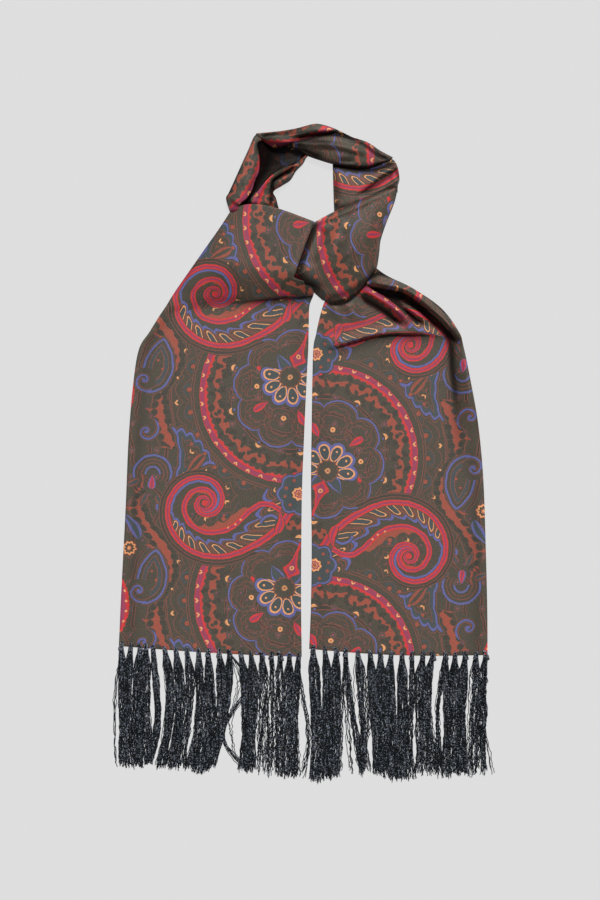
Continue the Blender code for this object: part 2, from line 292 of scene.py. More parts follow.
def outer_column(silk, place):
    """Flames, a large paisley, curls and an arch, along the edge away from the medallions."""
    near = centred(place, 110)
    # The flames: a rust garland that swells and thins, with lobes against both its sides.
    up = place.repeat(74, REPEAT).along(0, 0, 90)
    side = near.along(-110, 0, 0)
    centre = ((up - 160) * (2 * pi / 150)).sin() * 8 - (up - 74) * 0.165 + 61
    centre = centre + up.smooth(150, 205) * (0 - up).smooth(-290, -225) * 17
    swell = ((up - 92) * (2 * pi / 146)).cos() * 2.4 + ((up - 74) * (2 * pi / 52)).cos() * 1.2 + 6.3
    half = swell * up.ramp(74, 82) * (0 - up).ramp(-332, -300)
    aside = side - centre
    lick = (up.wrap(0.0, 26.0) * (1 / 26)).power(4) * 10
    silk.paint(abs(aside + lick * 0.4) < half + lick * (half > 2.0), RUST)
    for turned, start, step, size in ((1, 0.0, 13.0, 4.2), (-1, 4.0, 11.0, 3.8), (1, 6.5, 13.0, 2.2)):
        along = (up - 74 + start).wrap(-step / 2, step / 2)
        lobes(silk, aside * turned - half - 1.0, along, size, where=(half > 2.0) * up.near(194, 120))
    silk.bands(abs(aside) - half, [0.0, (7.0, None), (7.9, THIN), (8.5, None)], where=up.near(190, 110))
    low = centred(place, -40)
    large_paisley(silk, near, -90, 170)
    curl(silk, near, -84, 99.5, 1, 16)
    curl(silk, near, -62, -4, 1, 10)
    # The arch, over a drop with petals.
    away, up = near.away(-73, 40), near.along(-73, 40, 90)
    silk.bands(away, [12.0, (15, None), (16, THIN), (20, GROUND), (21, THIN), (24.5, GROUND),
                      (27.4, BLUE), (28.8, GROUND)], where=up > -10)
    silk.bands(away, [0.0, (8.8, GROUND), (11.3, BLUE), (14, GROUND)], where=up > 0)
    for x, y, angle in ((-97, 29, 205), (-50, 24, -25), (-83, 8, 245), (-64, 6, -62)):
        drop(silk, near, x, y, angle, 14, 5.5, [(0.4, SLATE), (0.8, THIN), (1.0, GROUND)])
    drop(silk, near, -74, 25, 85, 14, 5.4, [(0.3, PLUM), (0.62, RED), (1.0, BLUE)])
    drop(silk, low, -92, -42, 112, 36, 7, [(0.45, SLATE), (1.0, BLUE)], bend=0.3)
    rosette(silk, low, -103, -62, 9,
            [(2.2, GOLD), (3.4, RUST), (6.4, GROUND), (8.8, GOLD), (10, RUST), (11, GROUND)])
    # A beaded band along the edge.
    along = near.along(-108, 156, 93)
    aside = near.along(-108, 156, 3) + along * along * 0.0075
    band = along.near(0, 42)
    silk.bands(aside + abs((along * 0.55).sin()) * 1.3,
               [-22.0, (1.0, PLUM), (5.9, RED), (7.7, GROUND)], where=band)
    silk.paint((length(aside - 1, along.wrap(-7.0, 7.0)) < 1.9) * band, GOLD)


def fan(silk, place):
    """A scalloped fan that opens from a point beside the scroll."""
    near = centred(place, 60)
    x, y, axis = -48, 20, 50
    along = near.along(x, y, axis)
    across = near.along(x, y, axis - 90) + along * along * 0.0035
    away, angle = length(across, along), across.turn(along)
    front = away - abs((angle * 14).sin()) * 5 - 70
    side = abs(angle) * away - (away * (1 / 74)).power(2.3) * 36 - abs((away * 0.19).sin()) * 2 - 1.0
    silk.bands(front.most(side),
               [-20.0, (-14.5, None), (-13.6, THIN), (-8.5, GROUND), (-7.6, THIN), (-1.5, SLATE),
                (1.5, BLUE), (3.6, GROUND), (4.6, THIN), (6, GROUND)], where=along > 2)
    for lean in (-24, -4, 16):
        silk.paint(near.away(*spot(x, y, 67, axis + lean)) < 2.4, RUST)
    silk.paint(near.away(x + 18, y + 21) < 1.5, GOLD)
    drop(silk, near, x + 39, y + 40, axis + 178, 26, 9,
         [(0.3, GROUND), (0.55, RUST), (0.8, THIN), (1.0, GROUND)])


def medallion(silk, place):
    """A large round medallion: a lace border, a beaded ring, flames, a cloud line and roses."""
    x, y = MEDALLION
    near = centred(place, y)
    away, angle = near.away(x, y), near.round(x, y)
    # The lace border outside the ring.
    along = pitch(angle, 180, LACE_STEP, 142)
    silk.bands(away, [120.0, (136.2, GROUND), (137.2, THIN), (139.4, GROUND), (140.4, THIN),
                      (166.5, GROUND), (167.4, THIN), (169.0, GROUND)])
    scallop = abs((angle * 14).cos()) * 10
    silk.bands(away - scallop, [140.0, (141.6, None), (142.4, THIN), (151.2, None), (152.1, THIN)],
               where=away > 140)
    outline = length(along, away - 143)
    petal = along.turn(away - 143).wrap(-18 * DEGREE, 18 * DEGREE) * outline
    silk.paint((length(petal * 1.1, outline - 7.4) < 2.1) * (away > 141), SLATE)
    silk.paint((outline < 3.0) * (away > 139), RUST)
    along = pitch(angle, 180 + LACE_STEP / 2, LACE_STEP, 160)
    silk.paint((away + abs(along) * 0.8).near(162, 1.6) * (abs(along) < 3.4), GOLD)
    # The ring, with small gold hearts.
    silk.bands(away, [110.0, (117, None), (121.6, RED), (127.6, PLUM), (128.6, RED), (131, GROUND)])
    silk.bands(away - abs((angle * 40).cos()) * 2.6,
               [106.0, (115.6, GROUND), (116.6, THIN), (117.4, RED), (119.0, None)], where=away < 121)
    along = abs(pitch(angle, 0, 9, 126))
    silk.paint((away - along * 0.75).near(124.6, 1.4) * (along < 2.8), GOLD)
    # The garland: rust, thinner and thicker by turns, with lobes against its outer side.
    swell = (angle * 9).cos()
    lick = (angle * 18).sin() * 1.6 + (angle * 45).sin() * 0.7
    silk.paint(abs(away - 104.5 + lick) < swell * 2.8 + 5.6, RUST)
    for radius, size, start, step in (
        (96.5, 4.6, 0, 12),
        (101.5, 2.2, 5, 8),
        (112.4, 4.0, 3, 10),
        (107.0, 1.6, 0, 18),
    ):
        lobes(silk, pitch(angle, start, step, radius), away - radius + lick * 1.6, size)
    # Gold crescents, each with a blue dot.
    along = pitch(angle, 160, 40, 87)
    out = along.turn(away - 86)
    spread = length(along, away - 86)
    fan_out = out.wrap(-16 * DEGREE, 16 * DEGREE) * spread
    lobes(silk, fan_out, spread - 10.6, 2.6, where=abs(out) < 80 * DEGREE)
    silk.bands(length(along * 0.62, (away - 90) * 1.5 + along * along * 0.16),
               [0.0, (2.9, GOLD), (3.8, GROUND)])
    silk.paint(length(along + 1.6, away - 84.4) < 1.5, BLUE)
    silk.paint(length(pitch(angle, 180, 40, 84), away - 84) < 1.7, MAUVE)
    # The cloud line and the lobed lines inside it.
    cloud = abs(((angle - 151 * DEGREE) * 4.5).sin()).power(0.62) * 12
    silk.bands(away - cloud,
               [58.0, (66.6, GROUND), (67.5, THIN), (69.0, GROUND), (71.2, BLUE), (72.6, GROUND)])
    for turned, radius, wide, bud in (
        (175, 57, 18, 50),
        (255, 50, 21, 41),
        (131, 55, 18, 48),
        (215, 56, 16, 0),
        (295, 54, 17, 0),
        (95, 56, 17, 47),
    ):
        middle = spot(x, y, radius, turned)
        rose, bloom = near.away(*middle), near.round(*middle)
        wave = abs((bloom * 3.5 + turned).sin()) * 3.2
        silk.bands(rose - wave,
                   [0.0, (wide * 0.62, None), (wide * 0.62 + 0.9, THIN), (wide, None), (wide + 0.9, THIN)])
        if bud:
            silk.bands(near.away(*spot(x, y, bud, turned)), [0.0, (1.2, RUST), (3.6, GOLD), (4.4, GROUND)])
    seed = [(0.34, PLUM), (1.0, RED), (1.5, GROUND)]
    drop(silk, near, x - 48, y - 26, 32, 17, 5, seed)
    drop(silk, near, x + 16, y - 44, 118, 17, 5, seed)
    drop(silk, near, x - 49, y + 31, -50, 8, 2.2, [(1.0, RED)])


def flower(silk, place):
    """A half-open flower on the medallion, with a bud above it on a tapering stem."""
    x, y = FLOWER
    near = centred(place, y)
    away, angle = near.away(x, y), near.round(x, y)
    below = near.along(x, y, 262) > -9
    across = (angle - 172 * DEGREE).wrap(-18 * DEGREE, 18 * DEGREE) * away
    silk.paint(length(across * 0.55, away - 30) < 13.2, GROUND)
    silk.paint((length((away - 28) / 13.6, across / (away * 0.25 + 3.4)) < 1) * below, BLUE)
    petal = length((away - 25.5) / 11.5, across / (away * 0.19 + 2.1))
    silk.bands(petal, [0.0, (0.86, SLATE), (1.08, GOLD)], where=below)
    silk.paint((length(across, away - 29) < 1.5) * below, GOLD)
    for turned, side in ((118, 1), (48, -1)):
        drop(silk, near, *spot(x, y, 17, turned), turned + side * 18, 19, 8, [(0.7, SLATE), (1.0, BLUE)],
             bend=-0.25 * side)
    wave = (angle * 12).sin() * 0.8
    silk.bands(away + wave, [0.0, (1.6, THIN), (3.5, GOLD), (13.5, GROUND), (15.2, THIN)])
    # The bud.
    side, up = abs(near.along(x + 5.4, y + 13, -18)), near.along(x + 5.4, y + 13, 72)
    half = ((up - 13).most(0.0) * (-1 / 9.5)).exp() * 10.6 + 1.2
    silk.paint((side < half) * (up > side * 0.95) * (up < 52), RED)
    silk.paint((side * 1.5 < half - 1.6) * (up > side * 1.1 + 4) * (up < 46), PLUM)
    silk.bands(length(side, up - 15.5), [0.0, (1.2, PLUM), (3.1, GOLD)])


def scroll(silk, place):
    """A two-armed scroll. Its outer arm sweeps out to the edge, with leaves along its inner side."""
    near = place.repeat(5 - REPEAT / 2, REPEAT)
    flat_x, y = near.along(0, 0, 0), near.along(0, 0, 90)
    x = flat_x.least(flat_x * 0.7 + 18)
    away, angle = length(x, y), y.turn(x)
    opened = (away * (1 / SCROLL_RADIUS)).most(0.02).log() * (1 / SCROLL_GROWTH)
    arm = (opened - angle + pi / 2).wrap(-4.3, 2 * pi - 4.3)  # 0 on the outer arm, in radians of turning
    wound = (opened - arm) * (1 / DEGREE) + 90  # degrees along the outer arm
    scale = away * SCROLL_GROWTH
    beside = arm * scale
    half = away * 0.012 + 2.9
    # The ground that the scroll lies on, and echoes of its outer side.
    silk.paint(arm.near(-1.6, 1.75) * wound.near(90, 285), GROUND)
    silk.bands(beside - half,
               [0.0, (2.4, GROUND), (3.6, DARK), (4.7, THIN), (8.5, DARK), (9.5, THIN), (11, GROUND)],
               where=(arm < 1.1) * wound.near(165, 150) * (away > 28))
    # The leaves: a scalloped blue border, rust outlines and gold loops.
    grown = wound.ramp(188, 224)
    leaf = ((wound - 188 - arm * 9) * (1 / 17.5)).wrap(-0.5, 0.5)
    leaf_side = abs(leaf)
    front = leaf_side * leaf_side * (grown * 1.3 + 0.25) - arm - grown * 1.3 - 0.06
    leafy = wound.near(282, 92) * arm.near(-0.95, 0.95)
    silk.bands(front * scale,
               [-9.0, (-4.6, None), (-3.8, THIN), (-1.6, None), (-0.6, THIN), (0.4, GROUND), (3.4, BLUE)],
               where=leafy * (wound > 191))
    silk.paint(leaf_side.near(0.47, 0.025) * (front < 0) * leafy, THIN)
    silk.paint(leaf_side.near(0.36, 0.02) * (front < -0.2) * leafy, THIN)
    loop = length(leaf * away * 0.27, ((0 - arm) - grown * 0.80).most(0.0) * scale)
    silk.bands(loop, [0.0, (3.2, SLATE), (4.4, GOLD)], where=leafy * (arm < -0.2) * (wound > 210))
    # The blue line inside the outer arm, before the leaves begin.
    silk.bands(beside + half, [-4.0, (-3.1, None), (-0.5, BLUE), (0.5, None)],
               where=(wound < 196) * (away > 9))
    # The inner arm: a spiral that leaves it in an S, with a rust crescent along it.
    bow = (flat_x - 84) * (pi / 62)
    slope = bow.sin() * 0.96
    beside_s = (y - bow.cos() * 19 + 20) / (slope * slope + 1).root()
    beside_spiral = (arm + 2.54) * scale * -1
    aside = (flat_x.smooth(16, 34) * (y > -60)).mix(beside_spiral, beside_s)
    spiral_zone = arm.near(-2.8, 1.4) * (away < 60) * (flat_x < 30) * (away > 7)
    s_zone = flat_x.near(62, 43) * y.near(-15, 45) * beside_s.near(0, 22)
    zone = spiral_zone.most(s_zone)
    crescent = ((flat_x * (1 / 60) + 0.3) * (pi / 2)).sin().most(0.0) * 9 + 1.5
    bites = abs((flat_x * 0.17).sin()) * 3
    ending = (0 - flat_x).ramp(-66, -48)
    silk.bands(aside - (crescent - bites + 2) * ending, [-12.0, (1.6, RUST), (3.1, GROUND)],
               where=zone * (aside > 2.5) * (flat_x < 66))
    silk.bands(aside,
               [-6.0, (-5.2, None), (-4.2, GROUND), (-3.6, None), (-1.4, RED), (1.2, PLUM), (3.6, RED)],
               where=zone)
    # The outer arm.
    silk.bands(abs(beside) / half, [0.0, (0.34, PLUM), (1.0, RED), (1.2, GROUND)],
               where=arm.near(0, 1.2) * (wound < 382) * (away > 3))
    silk.paint(away < 4.2, RED)
    for x, y in ((33, -34), (42.5, -29), (50, -23)):
        silk.paint(near.away(x, y) < 1.5, GOLD)
    # A blue hook and a red comma where the leaves meet the shield.
    hook = near.away(91, -30)
    silk.bands(hook, [9.0, (11.5, GROUND), (14.6, BLUE), (16, GROUND)], where=near.along(91, -30, 70) > -2)
    drop(silk, near, 103, -36, 62, 22, 5.5, [(0.35, PLUM), (1.0, RED), (1.4, GROUND)], bend=0.5)


def shield(silk, place):
    """A scalloped shield at the edge, between two medallions."""
    x, y = SHIELD
    near = centred(place, y)
    away, angle = near.away(x, y), near.round(x, y)
    silk.bands(away - abs((angle * 3.5).sin()) * 5, [0.0, (22.8, SLATE), (25.4, BLUE), (27, GROUND)])
    for turned in (110, 155, 190, 235):
        silk.paint(near.away(*spot(x, y, 19, turned)) < 2.3, RUST)
    wave = (angle * 8).sin() * 0.8
    silk.bands(away + wave, [0.0, (2.6, RUST), (3.6, GOLD), (5.6, PLUM), (8.6, GOLD), (9.6, DARK)])


def paisley(place):
    """The whole print's colour at a place on the cloth."""
    silk = Print(GROUND)
    for motif in (ground_figures, medallion, outer_column, fan, flower, scroll, shield):
        motif(silk, place)
    return silk.colour


# ---------------------------------------------------------------- finishes

CLOTH_MAP = "cloth"  # the pieces' UV map: places on the cloth, in metres
TWILL_PITCH = 0.8  # millimetres from one twill line to the next
TWILL_ANGLE = 63  # across the twill lines, in degrees


def new_material(name, **values):
    """An empty material with a Principled shader, whose plain sockets are set here."""
    material = bpy.data.materials.new(name)
    material.use_nodes = True
    shader = material.node_tree.nodes["Principled BSDF"]
    for socket, value in values.items():
        shader.inputs[socket.replace("_", " ")].default_value = value
    Wire.tree = material.node_tree
    return material, shader


def link(wire, socket):
    Wire.tree.links.new(wire.socket, socket)


def noise(place, scale, detail=2.0, roughness=0.5, output=0, flat="2D"):
    return Wire.node("ShaderNodeTexNoise", {"noise_dimensions": flat},
                     {"Vector": place, "Scale": scale, "Detail": detail, "Roughness": roughness}, output)


def printed_silk():
    """Twilled silk with the paisley print, slightly milky where it turns to the light."""
    material, shader = new_material(
        "printed_silk", Roughness=0.5, Specular_IOR_Level=0.36, Sheen_Weight=0.07, Sheen_Roughness=0.45)
    cloth = Wire.node("ShaderNodeUVMap", {"uv_map": CLOTH_MAP})
    place = Wire.vector("MULTIPLY_ADD", cloth, (1000.0, 1000.0, 0.0), (0.0, 0.0, 1.0))
    # Screen printing lets the outlines wander a little.
    sway = noise(place, 0.09, 1.0, output=1)
    drawn = Wire.vector("MULTIPLY_ADD", sway, (2.0, 2.0, 0.0), place)
    colour = paisley(drawn.shift(-1.0, -1.0))
    # The dye takes unevenly on the twill.
    grain = noise(place, 0.62, 1.0)
    twill = (place.along(0, 0, TWILL_ANGLE) * (2 * pi / TWILL_PITCH)).sin() * 0.5 + 0.5
    # The hollow attribute is painted shade: it darkens the print in the folds, and in the deepest it mixes
    # in a near-black shader.
    painted_shade = Wire.node("ShaderNodeAttribute", {"attribute_name": "hollow"}, output=2)
    dye_and_painted_shade = (grain * 0.8 + twill * 0.10 + 0.60) * (painted_shade * -0.7 + 1)
    # Fine rust points of the half-tone show all over the ground.
    point = noise(place.shift(40, 70), 0.6, 1.0).smooth(0.58, 0.70)
    colour = (point * 0.40).tint(colour, linear(THIN))
    shaded = Wire.node("ShaderNodeVectorMath", {"operation": "SCALE"}, {0: colour, "Scale": dye_and_painted_shade})
    link(shaded, shader.inputs["Base Color"])
    link(noise(place, 0.5, 1.0) * 0.14 + 0.46, shader.inputs["Roughness"])
    height = twill * 0.5 + noise(place, 1.1, 2.0) + noise(place, 0.06, 2.0) * 3
    bump = Wire.node("ShaderNodeBump", {}, {"Strength": 0.35, "Distance": 0.0004, "Height": height})
    link(bump, shader.inputs["Normal"])
    # Painted shade: a near-black shader is mixed in where the painted shade is deepest, at the bottoms of
    # the folds.
    painted_shade_bsdf = Wire.node("ShaderNodeBsdfPrincipled", {}, {
        "Base Color": (0.004, 0.003, 0.003, 1.0), "Roughness": 1.0, "Specular IOR Level": 0.0})
    seen = Wire.node("ShaderNodeMixShader", {}, {0: painted_shade * 0.97, 1: Wire(shader.outputs[0]), 2: painted_shade_bsdf})
    link(seen, Wire.tree.nodes["Material Output"].inputs["Surface"])
    return material


def fringe_yarn():
    """Crinkled dark yarn with paler flecks, which are painted glints on the yarn."""
    material, shader = new_material("fringe_yarn", Specular_IOR_Level=0.28)
    place = Wire.node("ShaderNodeTexCoord").out("Object")
    painted_glint_fleck = noise(place, 520.0, 2.0, 0.6, flat="3D")
    # Just below the knots the yarn is drawn tight, and a painted sheen makes it paler there.
    painted_sheen = Wire.vector("DOT_PRODUCT", place, (0.0, 1.0, 0.0), output=1).smooth(-0.290, -0.268) * 0.07
    streak = noise(Wire.vector("MULTIPLY", place, (420.0, 45.0, 200.0)), 1.0, 1.0, flat="3D")
    dark = (streak.smooth(0.56, 0.68) * 0.7).tint(linear((12, 17, 21)), linear((46, 39, 37)))
    # The paler colour is painted glints and painted sheen on the dark yarn.
    painted_lighter = (painted_glint_fleck + painted_sheen + (streak - 0.5) * 0.30).smooth(0.52, 0.71)
    colour = painted_lighter.tint(dark, linear((138, 146, 160)))
    link(colour, shader.inputs["Base Color"])
    link(painted_glint_fleck * 0.3 + 0.4, shader.inputs["Roughness"])
    bump = Wire.node("ShaderNodeBump", {}, {"Strength": 0.4, "Distance": 0.0004, "Height": painted_glint_fleck})
    link(bump, shader.inputs["Normal"])
    return material


# ---------------------------------------------------------------- the stretches' plans

# A section runs straight across a stretch from its left edge to its right one. arch moves it towards +Y,
# most at lean, a share of the way across. rise is the height on the crown of a rounded stretch.
def section(left_x, left_y, right_x, right_y, arch=0.0, lean=0.5, rise=0.0):
    return (left_x, left_y, right_x, right_y, arch, lean, rise)


# From the fold over the knot, down over the drape, to the hem.
TAIL_LEFT = [
    section(-100.5, 332.0, 16.3, 319.3, arch=15.5, lean=0.35),
    section(-115.0, 310.5, 11.9, 308.0, arch=11.0, lean=0.38),
    section(-140.0, 275.5, -0.2, 276.0, arch=5.0, lean=0.4),
    section(-163.0, 243.0, -9.0, 250.0),
    section(-174.5, 226.5, -10.6, 242.0, arch=-2.0),
    section(-181.0, 216.5, 9.0, 235.0, arch=-3.0),
    section(-188.0, 205.0, 15.5, 222.4, arch=-3.0),
    section(-198.0, 190.0, 9.7, 205.0, arch=-2.0),
    section(-211.0, 169.0, 8.6, 180.0),
    section(-226.0, 144.0, 8.0, 148.0),
    section(-234.0, 93.0, 5.4, 97.0),
    section(-240.0, 20.0, 1.7, 14.0),
    section(-244.0, -73.0, -1.0, -64.0),
    section(-250.0, -190.0, -2.0, -190.0),
    section(-253.4, -264.5, -1.1, -279.5, arch=-2.0),
]

# From the knot's lower end, where it is gathered, to the hem.
TAIL_RIGHT = [
    section(30.7, 213.8, 102.9, 256.1, arch=-20.0),
    section(28.5, 206.0, 120.5, 244.0, arch=-18.0),
    section(25.5, 196.0, 152.0, 228.0, arch=-14.0),
    section(21.5, 180.0, 190.5, 201.5, arch=-8.0),
    section(18.5, 165.0, 214.0, 170.0, arch=-2.0),
    section(14.9, 147.0, 221.0, 151.0),
    section(13.5, 100.0, 231.8, 99.6),
    section(12.6, 40.0, 242.3, 41.4),
    section(11.7, -36.0, 249.4, -34.5),
    section(12.6, -130.0, 252.8, -130.0),
    section(11.5, -210.0, 254.8, -210.0),
    section(9.1, -268.5, 255.2, -277.0, arch=-4.5),
]

# From the fold along its upper side to the lower end, where it turns under.
KNOT_FRONT = [
    section(12.2, 317.6, 131.5, 369.0, arch=4.0, rise=15.0),
    section(7.8, 308.0, 127.0, 348.0, arch=3.0, rise=18.0),
    section(-4.4, 276.0, 116.0, 320.0, rise=21.0),
    section(-13.2, 250.0, 108.0, 296.0, rise=21.0),
    section(-14.2, 239.0, 106.0, 280.0, rise=19.0),
    section(-9.5, 231.0, 104.8, 270.0, arch=-4.0, rise=17.0),
    section(6.0, 230.0, 103.8, 263.0, arch=-10.0, rise=15.0),
    section(17.5, 221.2, 103.0, 259.5, arch=-16.0, rise=12.5),
    section(27.5, 212.2, 102.4, 256.6, arch=-20.0, rise=10.0),
]

# From under the band behind the neck down to the front flap's fold.
NECK_RIGHT = [
    section(41.4, 405.0, 119.5, 409.6, arch=-8.0, rise=6.0),
    section(41.5, 398.0, 126.8, 404.8, arch=-8.6, rise=6.0),
    section(41.9, 385.0, 131.6, 394.5, arch=-3.0, rise=9.0),
    section(42.3, 370.0, 133.7, 381.0, rise=10.0),
    section(42.8, 352.0, 132.9, 375.0, arch=1.0, rise=10.0),
    section(43.5, 333.4, 131.4, 370.1, arch=2.0, rise=10.0),
]

# Along the band, from its left end to its right one; left is the lower edge and right the upper one.
NECK_BACK = [
    section(-65.5, 439.4, -64.0, 442.0, rise=4.0),
    section(-53.0, 431.0, -48.0, 443.5, rise=8.0),
    section(-37.0, 420.8, -28.0, 446.0, rise=12.0),
    section(-16.0, 421.6, -8.0, 449.5, rise=14.0),
    section(6.9, 411.0, 13.0, 455.0, rise=15.0),
    section(24.6, 404.7, 25.5, 455.0, rise=15.0),
    section(41.3, 399.8, 43.9, 449.2, rise=15.0),
    section(62.0, 395.4, 68.6, 437.7, rise=14.0),
    section(84.2, 393.3, 90.0, 430.0, rise=13.0),
    section(101.0, 397.2, 109.0, 417.5, rise=10.0),
    section(120.0, 404.2, 124.5, 408.8, rise=5.0),
]

# Under the left tail, from its upper fold to just above the crease.
KNOT_CORE = [
    section(-94.0, 327.5, 14.0, 317.2, arch=15.5, lean=0.35),
    section(-106.0, 307.0, 10.6, 305.0, arch=8.0, lean=0.38),
    section(-122.0, 284.0, 0.0, 280.0, arch=2.0),
    section(-133.0, 262.0, -9.5, 256.0),
    section(-132.0, 246.0, -12.6, 243.0),
    section(-118.0, 232.0, -13.0, 231.0, arch=-2.0),
    section(-108.0, 221.0, -13.5, 223.0, arch=-1.0),
]

# The left collar stretch, from under the band down to under the knot: the outer edge, the outer flap's own
# edge over the open pocket, the inner flap's edge over it, the edge beside the neck hole, and the rise.
NECK_LEFT = [
    (-62.0, 442.0, -56.0, 434.0, 7.0, 415.0, 10.0, 414.0, 5.0),
    (-67.5, 437.2, -63.0, 428.0, 1.0, 408.4, 4.8, 408.0, 8.0),
    (-75.0, 419.5, -60.5, 414.0, -10.5, 398.8, 0.5, 400.0, 11.0),
    (-83.0, 402.0, -59.5, 402.0, -24.0, 394.0, -9.0, 390.0, 14.0),
    (-89.5, 387.5, -60.5, 389.0, -38.0, 386.0, -17.0, 377.5, 15.0),
    (-96.0, 373.0, -65.5, 377.0, -49.0, 376.5, -29.0, 369.5, 16.0),
    (-102.0, 360.0, -69.5, 364.0, -60.0, 363.0, -40.0, 362.0, 16.0),
    (-105.5, 352.5, -77.0, 352.0, -70.0, 352.0, -36.5, 353.0, 16.0),
    (-101.5, 337.5, -88.0, 342.0, -70.0, 344.9, -34.0, 343.6, 15.0),
    (-99.0, 331.0, -86.0, 334.0, -68.0, 337.0, -32.0, 336.0, 11.0),
]

# The lower sides of the left tail's drape: the outer side's line, and the crease below the knot.
DRAPE_SIDE = ((-118.0, 330.0), (-173.0, 228.0))
DRAPE_CREASE = ((-100.0, 210.0), (8.0, 218.6))
KNOT_HEIGHT = 19.0
SHEET = 1.7  # the doubled silk, pressed flat
WALL = 0.8  # the silk of a rolled stretch
FULLNESS = 1.2  # how many times its table's rise a rolled stretch stands
LEAST = 1.8  # the lowest it gets
ROLL_STEP = 1.6  # between the points of a rolled stretch
REST = 0.15  # how far every stretch lies above the floor


def curve(points, steps=8):
    """A smooth line through a few points, or a smooth run through a few rows of numbers."""
    points = np.array(points, dtype=float)
    if len(points) < 3:
        return points
    before = np.vstack([2 * points[0] - points[1], points[:-2], points[-3]])[: len(points) - 1]
    after = np.vstack([points[2:], 2 * points[-1] - points[-2]])
    shares = np.linspace(0.0, 1.0, steps + 1)[:-1, None]
    made = []
    for previous, start, end, following in zip(before, points[:-1], points[1:], after):
        leaving, arriving = (end - previous) / 2, (following - start) / 2
        made.append(start * (1 - 3 * shares**2 + 2 * shares**3) + end * (3 * shares**2 - 2 * shares**3)
                    + leaving * shares * (1 - shares) ** 2 - arriving * shares**2 * (1 - shares))
    return np.vstack(made + [points[-1:]])


def reached(points):
    """How far along a line of points each of them lies."""
    return np.concatenate([[0.0], np.cumsum(np.linalg.norm(np.diff(points, axis=0), axis=1))])


def smooth_rows(rows, step):
    """Rows of numbers about a step apart, on a smooth curve through them all."""
    dense = curve(rows, 24)
    reach = reached((dense[:, 0:2] + dense[:, 2:4]) / 2)
    wanted = edge_spaced(reach[-1], step) * reach[-1]
    return np.stack([np.interp(wanted, reach, column) for column in dense.T], axis=1)


def edge_spaced(width, step, edge=1.6):
    """Shares from 0 to 1, closer together near both ends, where an edge is rounded."""
    near = np.array([0.0, 0.06, 0.25, 0.58, 1.0]) * edge / width
    inner = np.linspace(near[-1], 1 - near[-1], max(int(width / step), 4))
    return np.concatenate([near[:-1], inner, 1 - near[:-1][::-1]])


def section_plan(sections, step):
    """The plan of a stretch as a grid of points, each grid row's rise, and the shares across it."""
    smooth = smooth_rows(sections, step)
    width = np.linalg.norm(smooth[:, 2:4] - smooth[:, 0:2], axis=1).max()
    across = edge_spaced(width, step)
    plan = smooth[:, None, 0:2] * (1 - across[None, :, None]) + smooth[:, None, 2:4] * across[None, :, None]
    bend = np.log(0.5) / np.log(smooth[:, None, 5])
    plan[..., 1] += smooth[:, None, 4] * np.sin(pi * across[None, :] ** bend)
    return plan, smooth[:, 6], across


def lengthened(sections, reach):
    """The table with a row added before its first one, so many millimetres further out."""
    first, second = np.array(sections[0]), np.array(sections[1])
    way = (first[0:2] + first[2:4] - second[0:2] - second[2:4]) / 2
    added = first.copy()
    added[0:4] += np.tile(way / np.linalg.norm(way) * reach, 2)
    return [added, *sections]


# ---------------------------------------------------------------- the cloth's relief

def smoothstep(value, low, high):
    share = np.clip((value - low) / (high - low), 0.0, 1.0)
    return share * share * (3 - 2 * share)


def side_distance(plan, line):
    """How far each point lies to the left of the way along a line; negative on its right."""
    start, end = np.array(line)
    run = (end - start) / np.linalg.norm(end - start)
    offset = plan - start
    return run[0] * offset[..., 1] - run[1] * offset[..., 0]


def nearest_on(plan, points):
    """Each point's signed distance from a bent line, positive on its left, and how far along it that is."""
    points = np.array(points, dtype=float)
    best = np.full(plan.shape[:2], 1e9)
    signed, along = best.copy(), best.copy()
    lengths = np.linalg.norm(np.diff(points, axis=0), axis=1)
    reach = reached(points)
    for start, end, here, size in zip(points[:-1], points[1:], reach[:-1], lengths):
        run = (end - start) / size
        offset = plan - start
        share = np.clip(offset @ run, 0.0, size)
        distance = np.linalg.norm(offset - share[..., None] * run, axis=-1)
        side = np.sign(run[0] * offset[..., 1] - run[1] * offset[..., 0])
        closer = distance < best
        best = np.where(closer, distance, best)
        signed = np.where(closer, distance * side, signed)
        along = np.where(closer, here + share, along)
    return signed, along / reach[-1]


def crease(plan, points, left, right, height, fade_in, fade_out):
    """A soft ridge (or a trough, if height is negative), with its own width on each side."""
    signed, along = nearest_on(plan, curve(points))
    width = np.where(signed > 0, left, right)
    near = np.clip(np.abs(signed) / width, 0.0, 1.0)
    body = np.cos(near * pi / 2) ** 2
    if fade_in:
        body = body * smoothstep(along, 0.0, fade_in)
    if fade_out:
        body = body * (1 - smoothstep(along, 1 - fade_out, 1.0))
    return height * body


def ridged(high, plan, folds):
    """The heights with folds' ridges and troughs added to them."""
    for fold in folds:
        high = high + crease(plan, *fold)
    return high


def painted_shade_at(plan, lines, painted_shade=0.0):
    """How dark the painted shade is at each place, from the lines where it is painted darkest."""
    for line in lines:
        painted_shade = np.maximum(painted_shade, crease(plan, *line))
    return painted_shade


def above_floor(height, blend=3.0):
    near_zero = np.clip(blend - np.abs(height), 0.0, None)
    return np.maximum(height, 0.0) + near_zero**2 / (4 * blend)


def drape(plan):
    """The height of the left tail's underside, where it lies over the crossed layers. It rises over 50 mm
    from the outer side, and over 38 mm or more from the crease, most at its outer end."""
    in_from_side = side_distance(plan, DRAPE_SIDE)
    up_from_crease = side_distance(plan, DRAPE_CREASE)
    end_width = 38.0 + 0.35 * np.clip(-40.0 - plan[..., 0], 0.0, None)
    side = np.sin(np.clip(in_from_side / 50.0, -1.0, 1.0) * pi / 2)
    end = np.sin(np.clip(up_from_crease / end_width, -1.0, 1.0) * pi / 2)
    both = np.where((side < 0) | (end < 0), np.minimum(side, end), side * end)
    return above_floor(KNOT_HEIGHT * both)


